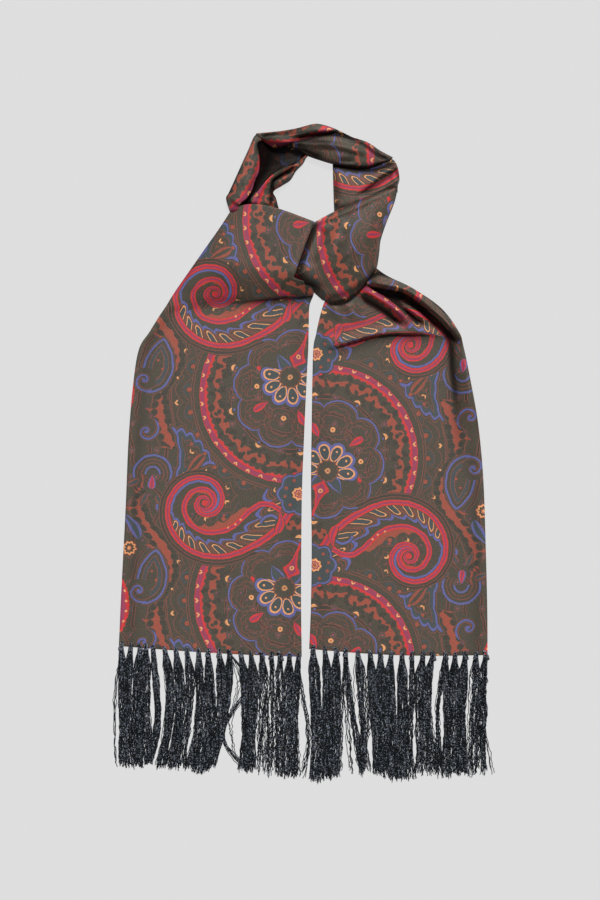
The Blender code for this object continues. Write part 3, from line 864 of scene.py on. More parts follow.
def hollows(height, step, reach=8.0):
    """How far each place lies below the cloth around it, as a share of a deep fold."""
    around = height
    for _ in range(int(2 * (reach / step) ** 2)):
        beside = np.pad(around, 1, mode="edge")
        around = (beside[2:, 1:-1] + beside[:-2, 1:-1] + beside[1:-1, 2:] + beside[1:-1, :-2]) / 4
    return np.clip((around - height) / 3.2, 0.0, 1.0)


# ---------------------------------------------------------------- making the shells

def turned_print(plan, print_point, world_point, angle):
    """Places on the cloth for a stretch where the print lies turned by an angle, in degrees, so that
    print_point falls on world_point."""
    c, s = cos(radians(-angle)), sin(radians(-angle))
    offset = plan - np.array(world_point)
    across, along = offset[..., 0], offset[..., 1]
    return np.stack([c * across - s * along, s * across + c * along], axis=-1) + np.array(print_point)


def draped_print(plan):
    """The print where the left tail lies over the knot, and on the cloth just under it there."""
    return turned_print(plan, MEDALLION, (46.2, 320.6), -22.3)


def from_ends(plan, axis):
    """How far each point of a grid lies from the nearer end of its row or column."""
    gaps = np.linalg.norm(np.diff(plan, axis=axis), axis=2)
    reach = np.insert(np.cumsum(gaps, axis=axis), 0, 0.0, axis=axis)
    return np.minimum(reach, np.take(reach, [-1], axis=axis) - reach)


def shell(name, plan, low, high, cloth, material, edge, painted_shade=0.0):
    """A closed sheet between two heights over a grid, its edges rounded, with its UV map in metres. Its
    hollow attribute is painted shade, darkest at the bottoms of its folds; its last argument adds painted
    shade of its own to what its heights give."""
    rows, columns = plan.shape[:2]
    near_edge = np.minimum(from_ends(plan, 0), from_ends(plan, 1))
    roundness = np.sqrt(1 - (1 - np.clip(near_edge / edge, 0.0, 1.0)) ** 2)
    middle, half = (low + high) / 2, (high - low) / 2
    top = np.dstack([plan, middle + half * roundness])
    bottom = np.dstack([plan, middle - half * roundness])

    inside = np.zeros((rows, columns), dtype=bool)
    inside[1:-1, 1:-1] = True
    top_index = np.arange(rows * columns).reshape(rows, columns)
    bottom_index = top_index.copy()
    bottom_index[inside] = rows * columns + np.arange(inside.sum())
    points = np.concatenate([top.reshape(-1, 3), bottom[inside]]) * MM
    faces = []
    for index, forward in ((top_index, True), (bottom_index, False)):
        a, b, c, d = index[:-1, :-1], index[1:, :-1], index[1:, 1:], index[:-1, 1:]
        faces.append(np.stack([a, b, c, d] if forward else [a, d, c, b], axis=-1).reshape(-1, 4))
    faces = np.concatenate(faces)
    places = np.concatenate([cloth.reshape(-1, 2), cloth[inside]]) * MM
    made = mesh_object(name, points, faces, places, material)
    step = np.linalg.norm(np.diff(plan, axis=1), axis=2).mean()
    # Painted shade: darker where the top lies below the cloth around it, and along the given lines.
    shaded = np.maximum(hollows(high, step) * 0.8, painted_shade).ravel()
    shaded = np.concatenate([shaded, np.zeros(len(points) - rows * columns)])
    hollow = made.data.attributes.new("hollow", "FLOAT", "POINT")
    hollow.data.foreach_set("value", shaded.astype(np.float32))
    return made


def mesh_object(name, points, faces, places, material):
    mesh = bpy.data.meshes.new(name)
    mesh.from_pydata(points.tolist(), [], faces.tolist())
    layer = mesh.uv_layers.new(name=CLOTH_MAP)
    corners = np.empty(len(mesh.loops), dtype=np.int32)
    mesh.loops.foreach_get("vertex_index", corners)
    layer.uv.foreach_set("vector", places[corners].astype(np.float32).ravel())
    mesh.materials.append(material)
    mesh.shade_smooth()
    mesh.validate()
    made = bpy.data.objects.new(name, mesh)
    bpy.context.scene.collection.objects.link(made)
    return made


def bodied(shell_object):
    """Hollows a rolled stretch, so that it is cloth all round."""
    hollow = shell_object.modifiers.new("cloth_wall", "SOLIDIFY")
    hollow.thickness = WALL * MM
    hollow.offset = -1.0
    return shell_object


def rounded(across, left_edge, right_edge, power=3.0):
    """How high a rounded stretch is across its width, as a share of its crown, given that at its edges."""
    side = np.where(across < 0.5, left_edge, right_edge)
    return side + (1 - side) * np.sqrt(np.clip(1 - np.abs(2 * across - 1) ** power, 0.0, 1.0))


# ---------------------------------------------------------------- the stretches

# Each fold and each line of painted shade has its points from start to end, its half width on the left and
# on the right, its height (below 0 for a trough) or how dark its painted shade is, and the shares of its
# length over which it starts and ends.

INNER_EDGE = 134.0  # the print's x along the tails' inner edges
LEFT_START = 67.2  # the print's y where the left tail's is 0
RIGHT_START = 140.3  # the same for the right tail, where the print runs the other way


def folded_edge(plan, column, height=2.6, reach=8.0):
    """The doubled cloth's soft fold along one side: it stands up a little there."""
    away = np.linalg.norm(plan - plan[:, column][:, None], axis=-1)
    return height * np.exp(-((away - 2.0) / reach) ** 2)


def tail_left(material):
    plan = section_plan(TAIL_LEFT, 2.6)[0]
    x, y = plan[..., 0], plan[..., 1]
    low = drape(plan)
    above = side_distance(plan, DRAPE_CREASE)
    # The draped part ends in a soft lip at the crease, higher towards the tail's inner edge.
    lip = 3.0 * smoothstep(x, -105.0, -45.0)
    low = low + lip * smoothstep(above, -0.6, 1.0) * np.exp(-np.clip(above, 0, None) / 22.0)
    right_edge = plan[:, -1:, 0]
    straight = np.stack([x - right_edge + INNER_EDGE, y + LEFT_START], axis=-1)
    turned = draped_print(plan) + np.array([0.0, REPEAT])
    blend = 1.0 + 44.0 * smoothstep(-x, 80.0, 125.0)
    share = smoothstep(above / blend, -0.6, 0.6)[..., None]
    cloth = straight * (1 - share) + turned * share
    puff = folded_edge(plan, 0) * (1 - smoothstep(above, -40, 20)) + folded_edge(plan, -1) * 0.5
    return shell("tail_left_cloth", plan, low + REST, low + SHEET + puff, cloth, material, edge=3.0)


def tail_right(material):
    plan = section_plan(lengthened(TAIL_RIGHT, 9), 2.4)[0]
    x, y = plan[..., 0], plan[..., 1]
    # Along the outer side, then the fold that leaves the knot below it, with a deep hollow between them.
    outer_fold = [(80, 242), (102, 235), (138, 227), (163, 212), (184, 194), (206, 172), (225, 151)]
    second_fold = [(70, 236), (90, 224), (115, 209), (133, 196), (147, 183), (162, 168)]
    third_fold = [(132, 209), (146, 201), (162, 190), (178, 178)]
    pleat = [(30, 146), (49, 150.8), (93.1, 163.3), (126.3, 167.4), (176, 166), (205, 160)]
    low = crease(plan, outer_fold, 18, 8, 20, 0.0, 0.2)
    low = np.maximum(low, crease(plan, second_fold, 9, 13, 18, 0.0, 0.4))
    low = np.maximum(low, crease(plan, third_fold, 6, 7, 10, 0.3, 0.4))
    low = ridged(low, plan, [
        ([(222, 158), (229, 90), (236, -20)], 12, 22, 8, 0.0, 0.6),
        ([(44, 209), (47, 196), (50, 180)], 9, 9, 3, 0.2, 0.6),
        ([(62, 212), (68, 196), (75, 178)], 9, 9, 3, 0.2, 0.6),
        (pleat, 20, 3, 7.0, 0.15, 0.35),
    ])
    top = np.linalg.norm(plan - plan[:1], axis=-1)
    low = low * smoothstep(top, 6.0, 20.0)
    inner = plan[:, :1, 0]
    # The pleat takes in some of the length above it.
    over, _ = nearest_on(plan, curve(pleat))
    taken = 28.0 * smoothstep(over, -1.5, 1.0) * smoothstep(x, 22.0, 90.0)
    flat = np.stack([INNER_EDGE - (x - inner), -(y + taken + RIGHT_START)], axis=-1)
    near_second, along_second = nearest_on(plan, curve(second_fold))
    on_second = smoothstep(near_second, -14.0, -11.0) * (1 - smoothstep(near_second, 7.0, 9.0))
    on_second = (on_second * (1 - smoothstep(along_second, 0.74, 0.84)))[..., None]
    flat = flat * (1 - on_second) + turned_print(plan, MEDALLION, (37.3, 113.6), 232.0) * on_second
    puff = folded_edge(plan, -1) * (1 - smoothstep(y, 90.0, 160.0)) + folded_edge(plan, 0) * 0.5
    # Painted shade in the hollow between the two folds and in the valley inside the outer ridge.
    painted_shade = painted_shade_at(plan, [
        ([(108, 225), (140, 215), (158, 205), (170, 193), (184, 178), (198, 166)], 6, 7, 0.95, 0.2, 0.2),
        ([(196, 172), (204, 150), (206, 120), (210, 84), (214, 20)], 9, 8, 0.8, 0.1, 0.6),
    ])
    return shell("tail_right_cloth", plan, low + REST, low + SHEET + puff, flat, material,
                 edge=3.0, painted_shade=painted_shade)


def rolled(name, sections, material, cloth_of, left_edge, right_edge, folds, dark, edge=5.0,
           sink=(0, 0, 0, 0)):
    """A folded stretch: rounded on top, nearly flat underneath. folds lists its ridges and troughs, and dark
    its lines of painted shade. sink says how far from its start, end, left and right it slopes down, in
    millimetres, to go under what lies on it."""
    plan, rise, across = section_plan(sections, ROLL_STEP)
    high = FULLNESS * rise[:, None] * rounded(across[None, :], left_edge, right_edge)
    high = ridged(high, plan, folds)
    along = reached(plan.mean(axis=1))[:, None]
    width = np.linalg.norm(plan[:, -1] - plan[:, 0], axis=1)[:, None]
    for distance, reach in zip((along, along[-1] - along, across * width, (1 - across) * width), sink):
        if reach:
            high = high * (0.5 + 0.5 * smoothstep(distance, 0.0, reach))
    high = np.maximum(high, LEAST)
    painted_shade = painted_shade_at(plan, dark)
    return bodied(shell(name, plan, REST, high, cloth_of(plan), material, edge, painted_shade))


def knot_front(material):
    folds = [
        ([(30, 312), (18, 276), (10, 248)], 14, 12, -3.0, 0.1, 0.3),
        ([(60, 330), (46, 290), (42, 262), (48, 236)], 16, 14, 3.5, 0.2, 0.2),
        ([(100, 352), (92, 310), (88, 280)], 10, 8, 1.5, 0.3, 0.4),
        ([(20, 318), (60, 333), (100, 352), (122, 362)], 5, 6, 2.2, 0.0, 0.4),
    ]
    # Lines of painted shade.
    dark = [
        ([(20, 322), (8, 290), (-4, 258), (-9, 242)], 8, 15, 0.55, 0.1, 0.0),
        ([(-6, 256), (-8, 246), (2, 238), (16, 230), (28, 220)], 16, 10, 0.8, 0.25, 0.4),
        ([(30, 214), (60, 222), (90, 242), (103, 258)], 7, 7, 0.45, 0.1, 0.1),
    ]
    return rolled("knot_front_cloth", KNOT_FRONT, material,
                  lambda plan: turned_print(plan, MEDALLION, (148.1, 302.6), -27.0),
                  0.4, 0.3, folds, dark, sink=(0, 0, 18, 0))


def neck_right(material):
    folds = [
        ([(133, 392), (112, 382), (92, 366), (70, 352)], 12, 4, -5.0, 0.1, 0.3),
        ([(136, 378), (124, 372), (112, 366)], 5, 5, 4.0, 0.0, 0.5),
        ([(131, 400), (126, 384), (128, 372)], 6, 6, 2.5, 0.2, 0.2),
    ]
    # Lines of painted shade.
    dark = [
        ([(38, 400), (62, 394), (86, 391), (108, 394), (130, 404)], 9, 9, 0.8, 0.0, 0.1),
        ([(134, 396), (116, 381), (98, 369), (76, 356)], 4, 9, 0.6, 0.1, 0.5),
        ([(43, 352), (52, 340), (70, 346)], 7, 8, 0.5, 0.2, 0.5),
        ([(44, 394), (47, 372), (50, 348)], 8, 14, 0.3, 0.1, 0.2),
    ]
    # Its lower end goes on under the front flap.
    return rolled("neck_right_cloth", lengthened(NECK_RIGHT[::-1], 9)[::-1], material,
                  lambda plan: turned_print(plan, (8.0, -77.0), (87.2, 363.4), 15.0),
                  0.55, 0.5, folds, dark, sink=(12, 12, 0, 0))


def neck_back(material):
    tuck = [(-68, 409), (-46, 418), (-20, 425.5), (10, 435), (42, 443), (60, 453)]  # between its two rolls

    def cloth_of(plan):
        above, _ = nearest_on(plan, curve(tuck))
        upper = turned_print(plan, MEDALLION, (-36.3, 549.4), 44.0)
        return np.where(above[..., None] > 0, upper, turned_print(plan, MEDALLION, (-30.0, 411.0), 60.0))

    folds = [
        (tuck, 3, 4, -3.5, 0.1, 0.1),
        ([(-62, 438), (-38, 440.5), (-12, 444), (20, 449)], 4, 5, -5.0, 0.15, 0.5),
        ([(-20, 434), (-8, 434.5), (14, 439), (42, 441), (68, 436), (86, 428)], 5, 8, -8.0, 0.2, 0.2),
        ([(-56, 435), (-19, 428), (12, 425), (42, 424), (75, 417), (98, 410)], 8, 8, 5.0, 0.1, 0.2),
        ([(-30, 422), (-8, 423), (14, 413), (36, 406)], 6, 5, -4.0, 0.2, 0.3),
        ([(44, 405), (62, 403), (78, 404)], 6, 5, -2.5, 0.3, 0.4),
        ([(88, 428), (104, 412), (118, 405)], 5, 6, -2.5, 0.3, 0.2),
    ]
    # Lines of painted shade.
    dark = [
        ([(-58, 442), (-30, 447), (-8, 450), (18, 455)], 4, 5, 0.75, 0.1, 0.3),
        ([(-40, 440), (-16, 441), (8, 444), (30, 446)], 3, 4, 0.5, 0.2, 0.3),
        ([(-46, 424), (-24, 421), (-12, 420), (8, 411), (26, 404)], 6, 6, 0.7, 0.2, 0.4),
        ([(-34, 432), (-10, 432), (14, 431), (34, 428), (60, 424)], 8, 14, 0.55, 0.3, 0.4),
        ([(70, 432), (92, 422), (112, 410)], 8, 8, 0.35, 0.3, 0.2),
        (tuck, 2.5, 4.5, 0.8, 0.05, 0.1),
        ([(-62, 440), (-44, 433), (-24, 427), (0, 420)], 9, 9, 0.42, 0.1, 0.3),
        ([(44, 398), (64, 395), (86, 393), (106, 399), (122, 405)], 6, 5, 0.7, 0.3, 0.1),
        ([(60, 436), (84, 426), (104, 412), (122, 406)], 5, 6, 0.7, 0.3, 0.1),
    ]
    return rolled("neck_back_cloth", NECK_BACK, material, cloth_of, 0.5, 0.35, folds, dark, edge=4.0)


def knot_core(material):
    plan, _, across = section_plan(KNOT_CORE, 3.0)
    plan = plan + np.array([1.0, 0.0]) * (1.5 - 7.0 * across[None, :, None])
    high = np.maximum(drape(plan) - 1.2, 1.5)
    return bodied(shell("knot_core_cloth", plan, REST, high, draped_print(plan), material, edge=2.0))


def neck_left(material):
    """The collar's left stretch: an outer flap and an inner flap, with the open pocket between them."""
    smooth = smooth_rows(NECK_LEFT, ROLL_STEP)
    outer, flap, inner, hole = (smooth[:, None, i : i + 2] for i in (0, 2, 4, 6))
    rise = smooth[:, 8:] * 1.25  # the collar stands a little fuller than the others
    near = np.array([0.0, 0.02, 0.07, 0.15, 0.25])
    outward = np.concatenate([near, np.linspace(0.33, 0.94, 16), [0.985, 1.0]])
    between, inward = np.linspace(0.02, 0.98, 26), (1 - outward)[::-1]
    # Each strip's two edges, the steps from one to the other, and its heights there as shares of the rise.
    strips = (
        (outer, flap, outward, 0.45 + 0.55 * (1 - (1 - outward) ** 2.4) ** 0.5 - 0.12 * outward**4),
        (flap, inner, between, np.full(between.shape, 0.05)),
        (inner, hole, inward, 0.35 + 0.5 * (1 - inward**3) ** 0.5),
    )
    plan = np.concatenate([first * (1 - steps[:, None]) + second * steps[:, None]
                           for first, second, steps, _ in strips], axis=1)
    high = np.concatenate([rise * profile for _, _, _, profile in strips], axis=1)
    into = np.concatenate([steps for _, _, steps, _ in strips])
    strip = np.repeat([0, 1, 2], [len(steps) for _, _, steps, _ in strips])
    high = np.maximum(LEAST, ridged(high, plan, [
        ([(-64, 432), (-74, 404), (-86, 376), (-94, 356)], 8, 8, 2.0, 0.1, 0.2),
        ([(4, 412), (-20, 398), (-40, 384), (-56, 366), (-62, 350)], 6, 6, 3.0, 0.1, 0.1),
        ([(-6, 396), (-18, 388), (-34, 379), (-40, 372), (-42, 350)], 4, 3.5, -5.5, 0.2, 0.0),
        ([(-44, 412), (-30, 402), (-14, 400)], 9, 9, 1.5, 0.2, 0.2),
        ([(-56, 392), (-44, 394), (-34, 394)], 5, 5, 1.2, 0.2, 0.2),
    ]))
    # The pocket gets painted shade, darkest beside the outer flap and under the band, and lines of painted
    # shade run along the flaps' edges.
    down = np.linspace(0.0, 1.0, len(smooth))[:, None]
    painted_lighter = smoothstep(into, 0.2, 0.85) * (1 - smoothstep(down, 0.7, 0.95))
    pocket_painted_shade = (strip == 1) * (1.0 - 0.32 * painted_lighter) * smoothstep(down, 0.0, 0.06)
    painted_shade = painted_shade_at(plan, [
        ([(-8, 398), (-20, 390), (-34, 381), (-41, 374), (-43, 362), (-44, 344)], 3, 4, 0.95, 0.1, 0.0),
        ([(-28, 372), (-34, 362), (-36, 350)], 5, 5, 0.6, 0.2, 0.0),
        ([(-66, 440), (-84, 404), (-100, 366), (-105, 350)], 4, 5, 0.5, 0.1, 0.2),
        ([(-60, 430), (-61, 404), (-66, 380), (-78, 352)], 3, 9, 0.4, 0.1, 0.2),
        ([(-100, 352), (-92, 344), (-80, 342), (-60, 345)], 5, 5, 0.6, 0.2, 0.1),
    ], pocket_painted_shade)
    outer_cloth = turned_print(plan, MEDALLION, (-176.0, 432.0), 144.5)
    inner_cloth = turned_print(plan, MEDALLION, (56.3, 315.7), -36.6)
    cloth = np.where((strip == 2)[:, None], inner_cloth, outer_cloth)
    return bodied(shell("neck_left_cloth", plan, REST, high, cloth, material, edge=3.0, painted_shade=painted_shade))


# ---------------------------------------------------------------- the knotted fringe

# What each tassel's point carries to its strands, beside its reach.
CARRIED = ("middle", "end", "half_width", "bow", "fray", "strands", "sway")


# Each tassel hangs from its knot on the hem: the knot's place along the hem, how far the tassel's middle
# and its end drift sideways, its half width, how far down its end lies, how far its loose strands bow out,
# how frayed it is, its share of a full tassel's strands, and how far it sways first one way and then the
# other. A lock that parts from its tassel has a row of its own, with few strands.
def tassel(x, middle, end, half_width, tip_y, bow=0.0, fray=0.0, strands=1.0, sway=0.0):
    return {"x": x, "middle": middle, "end": end, "half_width": half_width, "tip_y": tip_y, "bow": bow,
            "fray": fray, "strands": strands, "sway": sway}


TASSELS_LEFT = [
    tassel(-250.0, 3.2, 2.5, 5.8, -425.0),
    tassel(-250.0, -7.0, -7.0, 0.8, -426.0, strands=0.08),
    tassel(-236.7, -5.2, -1.0, 5.8, -429.0, fray=0.3),
    tassel(-224.0, -3.0, -4.0, 6.8, -428.0),
    tassel(-215.7, 0.0, -2.5, 6.3, -427.0, fray=0.25, sway=-1.0),
    tassel(-206.0, 6.8, -3.0, 3.8, -424.0, bow=2.0, sway=-1.5),
    tassel(-189.8, 9.0, -6.0, 6.0, -430.0, bow=-2.0),
    tassel(-174.6, 7.3, -7.0, 6.2, -431.0),
    tassel(-159.4, 4.4, -9.6, 6.5, -432.0, fray=0.35, strands=0.85, sway=2.2),
    tassel(-143.2, 5.2, -12.0, 6.2, -433.0, sway=-1.5),
    tassel(-130.1, 7.3, -16.0, 6.3, -437.0, sway=-2.0),
    tassel(-115.0, 8.2, -21.0, 6.2, -434.0, fray=0.3),
    tassel(-100.6, 0.0, -27.0, 5.6, -429.0, bow=3.0),
    tassel(-100.6, 3.7, 15.4, 1.9, -428.0, fray=0.1, strands=0.22, sway=20.0),
    tassel(-100.6, 5.0, 10.0, 3.0, -420.0, fray=0.9, strands=0.07, sway=8.0),
    tassel(-85.0, 8.2, 3.0, 6.0, -434.0),
    tassel(-70.7, 2.0, -1.5, 7.0, -436.0, sway=1.5),
    tassel(-55.9, 2.5, 1.0, 6.8, -437.0, bow=5.0, fray=0.9, strands=0.62),
    tassel(-42.9, 3.0, -1.0, 3.0, -438.0, bow=-5.0, fray=1.0, strands=0.35),
    tassel(-30.9, 0.0, -3.0, 5.0, -441.0, fray=0.8, strands=0.65),
    tassel(-17.9, -1.8, -4.0, 7.0, -443.0, fray=0.2),
    tassel(-5.2, -4.9, -5.0, 5.0, -441.0, fray=0.5, strands=0.8),
    tassel(-5.2, 8.0, 6.0, 1.8, -441.0, bow=4.0, fray=0.5, strands=0.18, sway=-4.0),
]
TASSELS_RIGHT = [
    tassel(14.8, 4.5, 3.0, 7.8, -449.0, bow=-4.0, sway=-1.5),
    tassel(30.9, 3.2, 2.0, 6.6, -446.0, sway=2.0),
    tassel(46.8, -1.0, -2.5, 6.6, -444.0),
    tassel(59.1, 3.5, 23.0, 2.3, -438.0, bow=3.0, fray=0.5, strands=0.5),
    tassel(59.1, -3.0, -6.0, 1.4, -436.0, fray=0.3, strands=0.12),
    tassel(59.1, 0.0, 8.0, 2.0, -436.0, fray=0.9, strands=0.12),
    tassel(76.6, 6.0, 7.0, 6.0, -438.0, bow=-8.0, fray=0.8, strands=0.75),
    tassel(93.4, 3.8, 12.5, 6.6, -439.0),
    tassel(107.5, 1.0, 7.5, 6.8, -442.0, fray=0.3),
    tassel(122.4, -1.9, 4.5, 6.9, -446.0, sway=-2.2),
    tassel(137.3, 0.0, 0.5, 7.0, -446.0, sway=0.8),
    tassel(151.1, -2.4, -2.0, 4.0, -446.0, bow=-3.0, fray=0.8, strands=0.55, sway=1.5),
    tassel(165.9, -1.5, -2.0, 8.0, -440.0, fray=0.4, strands=0.85, sway=-1.5),
    tassel(179.7, -8.8, 1.0, 5.8, -439.0, fray=0.5, strands=0.8, sway=-2.0),
    tassel(197.2, -9.0, -6.0, 2.6, -441.0, fray=0.5, strands=0.42),
    tassel(197.2, 2.5, 0.0, 4.6, -442.0, strands=0.6),
    tassel(210.5, -1.5, -2.0, 7.6, -440.0, fray=0.3),
    tassel(224.5, -5.2, -3.0, 7.0, -440.0),
    tassel(239.4, -0.5, -5.0, 5.6, -439.0, bow=-6.0, fray=0.9, strands=0.65),
    tassel(252.5, -5.0, -4.0, 5.4, -437.0, bow=3.0, fray=0.8, strands=0.7),
    tassel(252.5, -5.0, 9.5, 0.9, -437.0, fray=0.1, strands=0.06),
]


def geometry(kind, settings=(), output=0, **values):
    """A geometry node; an underscore in a socket's name stands for a space."""
    named_values = {label.replace("_", " "): value for label, value in values.items()}
    return Wire.node("GeometryNode" + kind, settings, named_values, output)


def vector(x=0.0, y=0.0, z=0.0):
    return Wire.node("ShaderNodeCombineXYZ", {}, {0: x, 1: y, 2: z})


def cloud(x=0.0, y=0.0, z=0.0, output=0):
    """Soft noise at a place."""
    return noise(vector(x, y, z), 1.0, 1.0, output=output, flat="3D")


def kept(name, kind="FLOAT"):
    """A value that the points carry."""
    return geometry("InputNamedAttribute", {"data_type": kind}, Name=name)


def stored(points, name, value, kind="FLOAT"):
    """The points with a value kept on them."""
    return geometry("StoreNamedAttribute", {"data_type": kind, "domain": "POINT"},
                    Geometry=points, Name=name, Value=value)


def chance(low, high, seed):
    """An even random number, its own for each point."""
    drawn = Wire.node("FunctionNodeRandomValue", {"data_type": "FLOAT"}, {2: low, 3: high, "Seed": seed})
    return drawn.out(1)


def circle(corners, radius):
    return geometry("CurvePrimitiveCircle", Resolution=corners, Radius=radius)


def wound(curve, profile):
    """Yarn along a curve."""
    return geometry("CurveToMesh", Curve=curve, Profile_Curve=profile, Fill_Caps=True)


def joined(*pieces):
    both = geometry("JoinGeometry")
    for piece in pieces:
        Wire.tree.links.new(piece.socket, both.made.inputs[0])
    return both


def new_tree(name, **sizes):
    """An empty geometry tree, with the tassels' points, its sizes and the yarn as named inputs, and the
    wires of those inputs by name."""
    tree = bpy.data.node_groups.new(name, "GeometryNodeTree")
    kinds = {"Tassels": "Geometry", **sizes, "Yarn": "Material"}
    for label, kind in kinds.items():
        tree.interface.new_socket(label.replace("_", " "), in_out="INPUT", socket_type="NodeSocket" + kind)
    tree.interface.new_socket("Fringe", in_out="OUTPUT", socket_type="NodeSocketGeometry")
    Wire.tree = tree
    return tree, Wire.node("NodeGroupInput").out


def finished(pieces, given):
    """Ends the tree: real meshes, smooth, in the yarn."""
    real = geometry("RealizeInstances", Geometry=pieces)
    smooth = geometry("SetShadeSmooth", Geometry=real)
    yarned = geometry("SetMaterial", Geometry=smooth, Material=given("Yarn"))
    Wire.tree.links.new(yarned.socket, Wire.tree.nodes.new("NodeGroupOutput").inputs[0])


NECK = 2.9  # a tassel's half width just below its knot


def strand_tree():
    """Each tassel's strands: gathered in the knot, spreading below it, crinkled, uneven at their ends."""
    tree, given = new_tree("fringe_strands", Strands="Int", Steps="Int", Yarn_Radius="Float", Seed="Int")
    amount = (kept("strands") * given("Strands")).most(2.0)
    points = geometry("DuplicateElements", {"domain": "POINT"}, Geometry=given("Tassels"), Amount=amount)
    number = points.out("Duplicate Index")
    points = stored(points, "root", geometry("InputPosition"), "FLOAT_VECTOR")
    for turn, (name, low) in enumerate((("jitter", 0.0), ("over", 0.0), ("long", 0.0), ("loose", 0.0),
                                        ("swing", -1.0))):
        points = stored(points, name, chance(low, 1.0, given("Seed") + turn * 17))
    # The strands are spread evenly over the tassel's width.
    points = stored(points, "across", (number + kept("jitter")) / amount * 2 - 1)
    line = geometry("CurvePrimitiveLine", Start=(0, 0, 0), End=(0, -1, 0))
    line = geometry("ResampleCurve", Curve=line, Count=given("Steps"))
    strands = geometry("InstanceOnPoints", Points=points, Instance=line)
    strands = geometry("RealizeInstances", Geometry=strands)

    share = geometry("SplineParameter")
    root = Wire.node("ShaderNodeSeparateXYZ", {}, {0: kept("root", "FLOAT_VECTOR")})
    across, over, fray = kept("across"), kept("over"), kept("fray")
    reach = kept("reach") * (kept("long") * kept("long") * (fray * -0.08 - 0.06) + 1.012)
    # The ends are ragged in groups.
    group = cloud(root.out(0) * 300 + across * 2.6, over * 0.6)
    reach = reach * ((group - 0.5) * (fray * 0.10 + 0.13) + 1.0)
    down = share * reach
    # A few strands in each tassel are loose: they bow out on their own.
    loose = kept("loose").smooth(0.80, 1.0)
    bow = (share * pi).sin() * loose * kept("bow")
    stray = share * share * loose * kept("swing") * (fray * 8 + 4)
    half = kept("half_width")
    half = share.smooth(0.01, 0.17).mix(half.least(NECK), half) * (share * 0.1 + 1.0)
    drift = (share * pi).sin() * kept("middle") + share * share * kept("end")
    drift = drift + (share * (2 * pi)).sin() * kept("sway")
    # Strands that lie together wander together, and each has its own crinkle.
    common = cloud(root.out(0) * 90 + across * 1.5, down * 0.02, over * 0.4)
    own = cloud(kept("long") * 97, down * 0.16, kept("loose") * 53, output=1)
    own = Wire.node("ShaderNodeSeparateXYZ", {}, {0: own})
    free = share.smooth(0.0, 0.25)
    side = across * half + drift + bow + stray + (common - 0.5) * free * (fray * 8 + 6)
    side = side + (own.out(0) - 0.5) * free * (fray * 5 + 5)
    lift = (1 - across * across).root() * over * (share.smooth(0.0, 0.3).mix(2.6, 2.4)) + 0.8
    lift = lift + (own.out(2) - 0.5).most(0.0) * 3.0 * free + (1 - share.smooth(0.0, 0.12))
    place = vector(root.out(0) + side * MM, root.out(1) - down * MM, lift * MM)
    laid = geometry("SetPosition", Geometry=strands, Position=place)
    finished(wound(laid, circle(3, given("Yarn Radius"))), given)
    return tree


def knot_tree():
    """Each knot: a loop through the hem, a collar wound round the tassel's neck, and the running thread."""
    tree, given = new_tree("fringe_knots", Yarn_Radius="Float", Loop_Height="Float", Seed="Int")
    loop = geometry("Transform", Geometry=circle(18, 1.0), Translation=(0.0, 0.0018, 0.0026),
                    Rotation=(0.18, 0.0, 0.12), Scale=(0.0015, 0.0036, 1.0))
    collar = geometry("CurveSpiral", Resolution=12, Rotations=2.2, Start_Radius=0.0023, End_Radius=0.0021,
                      Height=0.0042)
    collar = geometry("Transform", Geometry=collar, Translation=(0.0, -0.0015, 0.0038),
                      Rotation=(pi / 2, 0.15, 0.0))
    profile = circle(7, given("Yarn Radius"))
    knots = geometry("InstanceOnPoints", Points=given("Tassels"),
                     Instance=joined(wound(loop, profile), wound(collar, profile)),
                     Rotation=vector(z=chance(-0.35, 0.35, given("Seed"))),
                     Scale=chance(0.88, 1.15, given("Seed") + 5))
    # The thread runs from knot to knot, a little above the hem's edge.
    path = geometry("SubdivideCurve", Curve=geometry("MeshToCurve", Mesh=given("Tassels")), Cuts=3)
    path = geometry("SetPosition", Geometry=path, Offset=vector(y=given("Loop Height"), z=0.0012))
    finished(joined(knots, wound(path, circle(5, 0.0006))), given)
    return tree


def grown(name, tree, hem, tassels, **inputs):
    """A plain mesh grown by the tree from one point a tassel, on the hem."""
    along = np.array([row["x"] for row in tassels])
    order = np.argsort(hem[:, 0])
    hem_y = np.interp(along, hem[order, 0], hem[order, 1])
    mesh = bpy.data.meshes.new(name + "_points")
    mesh.from_pydata([(x * MM, y * MM, 0.0) for x, y in zip(along, hem_y)],
                     [(i, i + 1) for i in range(len(tassels) - 1)], [])
    carried = {column: [row[column] for row in tassels] for column in CARRIED}
    carried["reach"] = [y - row["tip_y"] for y, row in zip(hem_y, tassels)]
    for column, values in carried.items():
        mesh.attributes.new(column, "FLOAT", "POINT").data.foreach_set("value", values)
    source = bpy.data.objects.new(name, mesh)
    bpy.context.scene.collection.objects.link(source)
    modifier = source.modifiers.new("grow", "NODES")
    modifier.node_group = tree
    sockets = {item.name: item.identifier for item in tree.interface.items_tree if item.in_out == "INPUT"}
    for label, value in inputs.items():
        modifier[sockets[label.replace("_", " ")]] = value
    evaluated = source.evaluated_get(bpy.context.evaluated_depsgraph_get())
    plain = bpy.data.meshes.new_from_object(evaluated)
    source.modifiers.remove(modifier)
    source.data = plain
    plain.name = name
    return source


# ---------------------------------------------------------------- light, floor and camera

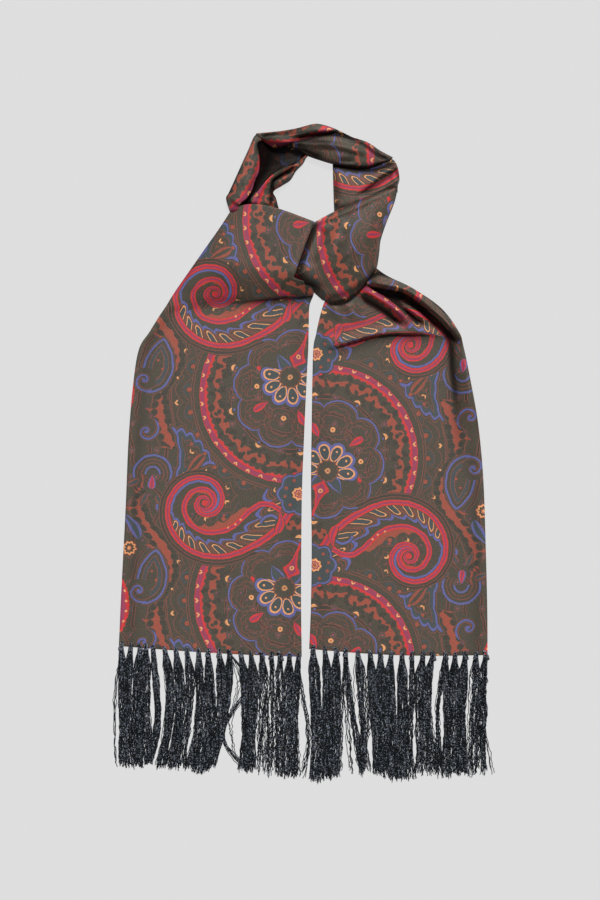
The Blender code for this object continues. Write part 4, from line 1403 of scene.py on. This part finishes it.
def build_stage():
    world = bpy.data.worlds.new("studio")
    bpy.context.scene.world = world
    world.use_nodes = True
    world.node_tree.nodes["Background"].inputs[0].default_value = (1.0, 1.0, 1.0, 1.0)
    world.node_tree.nodes["Background"].inputs[1].default_value = 0.13

    bpy.ops.mesh.primitive_plane_add(size=12.0, location=(0.0, 0.0, 0.0))
    floor = bpy.context.object
    floor.name = "floor"
    material, shader = new_material("pale_floor", Roughness=0.9, Specular_IOR_Level=0.1)
    shader.inputs["Base Color"].default_value = (0.06, 0.06, 0.06, 1.0)
    shader.inputs["Emission Color"].default_value = (1.0, 1.0, 1.0, 1.0)
    shader.inputs["Emission Strength"].default_value = 0.675
    floor.data.materials.append(material)

    for name, strength, spread, height, bearing in (
        ("key_light", 2.95, 12.0, 50.0, 76.0),
        ("fill_light", 0.2, 70.0, 65.0, 200.0),
    ):
        light = bpy.data.lights.new(name, "SUN")
        light.energy = strength
        light.angle = radians(spread)
        lamp = bpy.data.objects.new(name, light)
        lamp.rotation_euler = (0.0, radians(90.0 - height), radians(bearing))
        bpy.context.scene.collection.objects.link(lamp)

    view = bpy.data.cameras.new("camera")
    view.lens = 100.0
    view.sensor_width = 36.0
    view.clip_end = 50.0
    camera = bpy.data.objects.new("camera", view)
    seen = 1.242  # metres along the longer side of the view
    camera.location = (-0.0035, 0.0059, seen * view.lens / view.sensor_width)
    bpy.context.scene.collection.objects.link(camera)
    bpy.context.scene.camera = camera
    bpy.context.scene.view_settings.view_transform = "Standard"


# ---------------------------------------------------------------- the whole scarf

silk = printed_silk()
yarn = fringe_yarn()
build_stage()

# Each stretch's cut is its flat width and length, in metres, both layers of the doubled silk counted as one
# in the pressed tails, and once round the tube in the folded stretches.
sheets = {}
for node, make, width, run in (
    ("neck_back", neck_back, 0.09, 0.19),
    ("neck_left", neck_left, 0.14, 0.12),
    ("neck_right", neck_right, 0.20, 0.075),
    ("knot_front", knot_front, 0.25, 0.12),
    ("knot_core", knot_core, 0.24, 0.11),
    ("tail_left", tail_left, 0.25, 0.60),
    ("tail_right", tail_right, 0.25, 0.50),
):
    piece = make(silk)
    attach(piece, "root")
    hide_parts(node)
    sheets[node] = (piece, (width, run))

strand_nodes, knot_nodes = strand_tree(), knot_tree()
for side, sections, tassels, strands in (
    ("left", TAIL_LEFT, TASSELS_LEFT, 50),
    ("right", TAIL_RIGHT, TASSELS_RIGHT, 58),
):
    hem = section_plan(sections, 2.6)[0][-1]
    fringe = grown("fringe_" + side + "_strands", strand_nodes, hem, tassels, Strands=strands, Steps=36,
                   Yarn_Radius=0.00066, Seed=3, Yarn=yarn)
    knotted = list({row["x"]: row for row in tassels}.values())
    knots = grown("fringe_" + side + "_knots", knot_nodes, hem, knotted,
                  Yarn_Radius=0.0013, Loop_Height=0.0048, Seed=8, Yarn=yarn)
    for piece in (fringe, knots):
        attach(piece, "root")
    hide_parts("fringe_" + side)
    tail, cut = sheets.pop("tail_" + side)
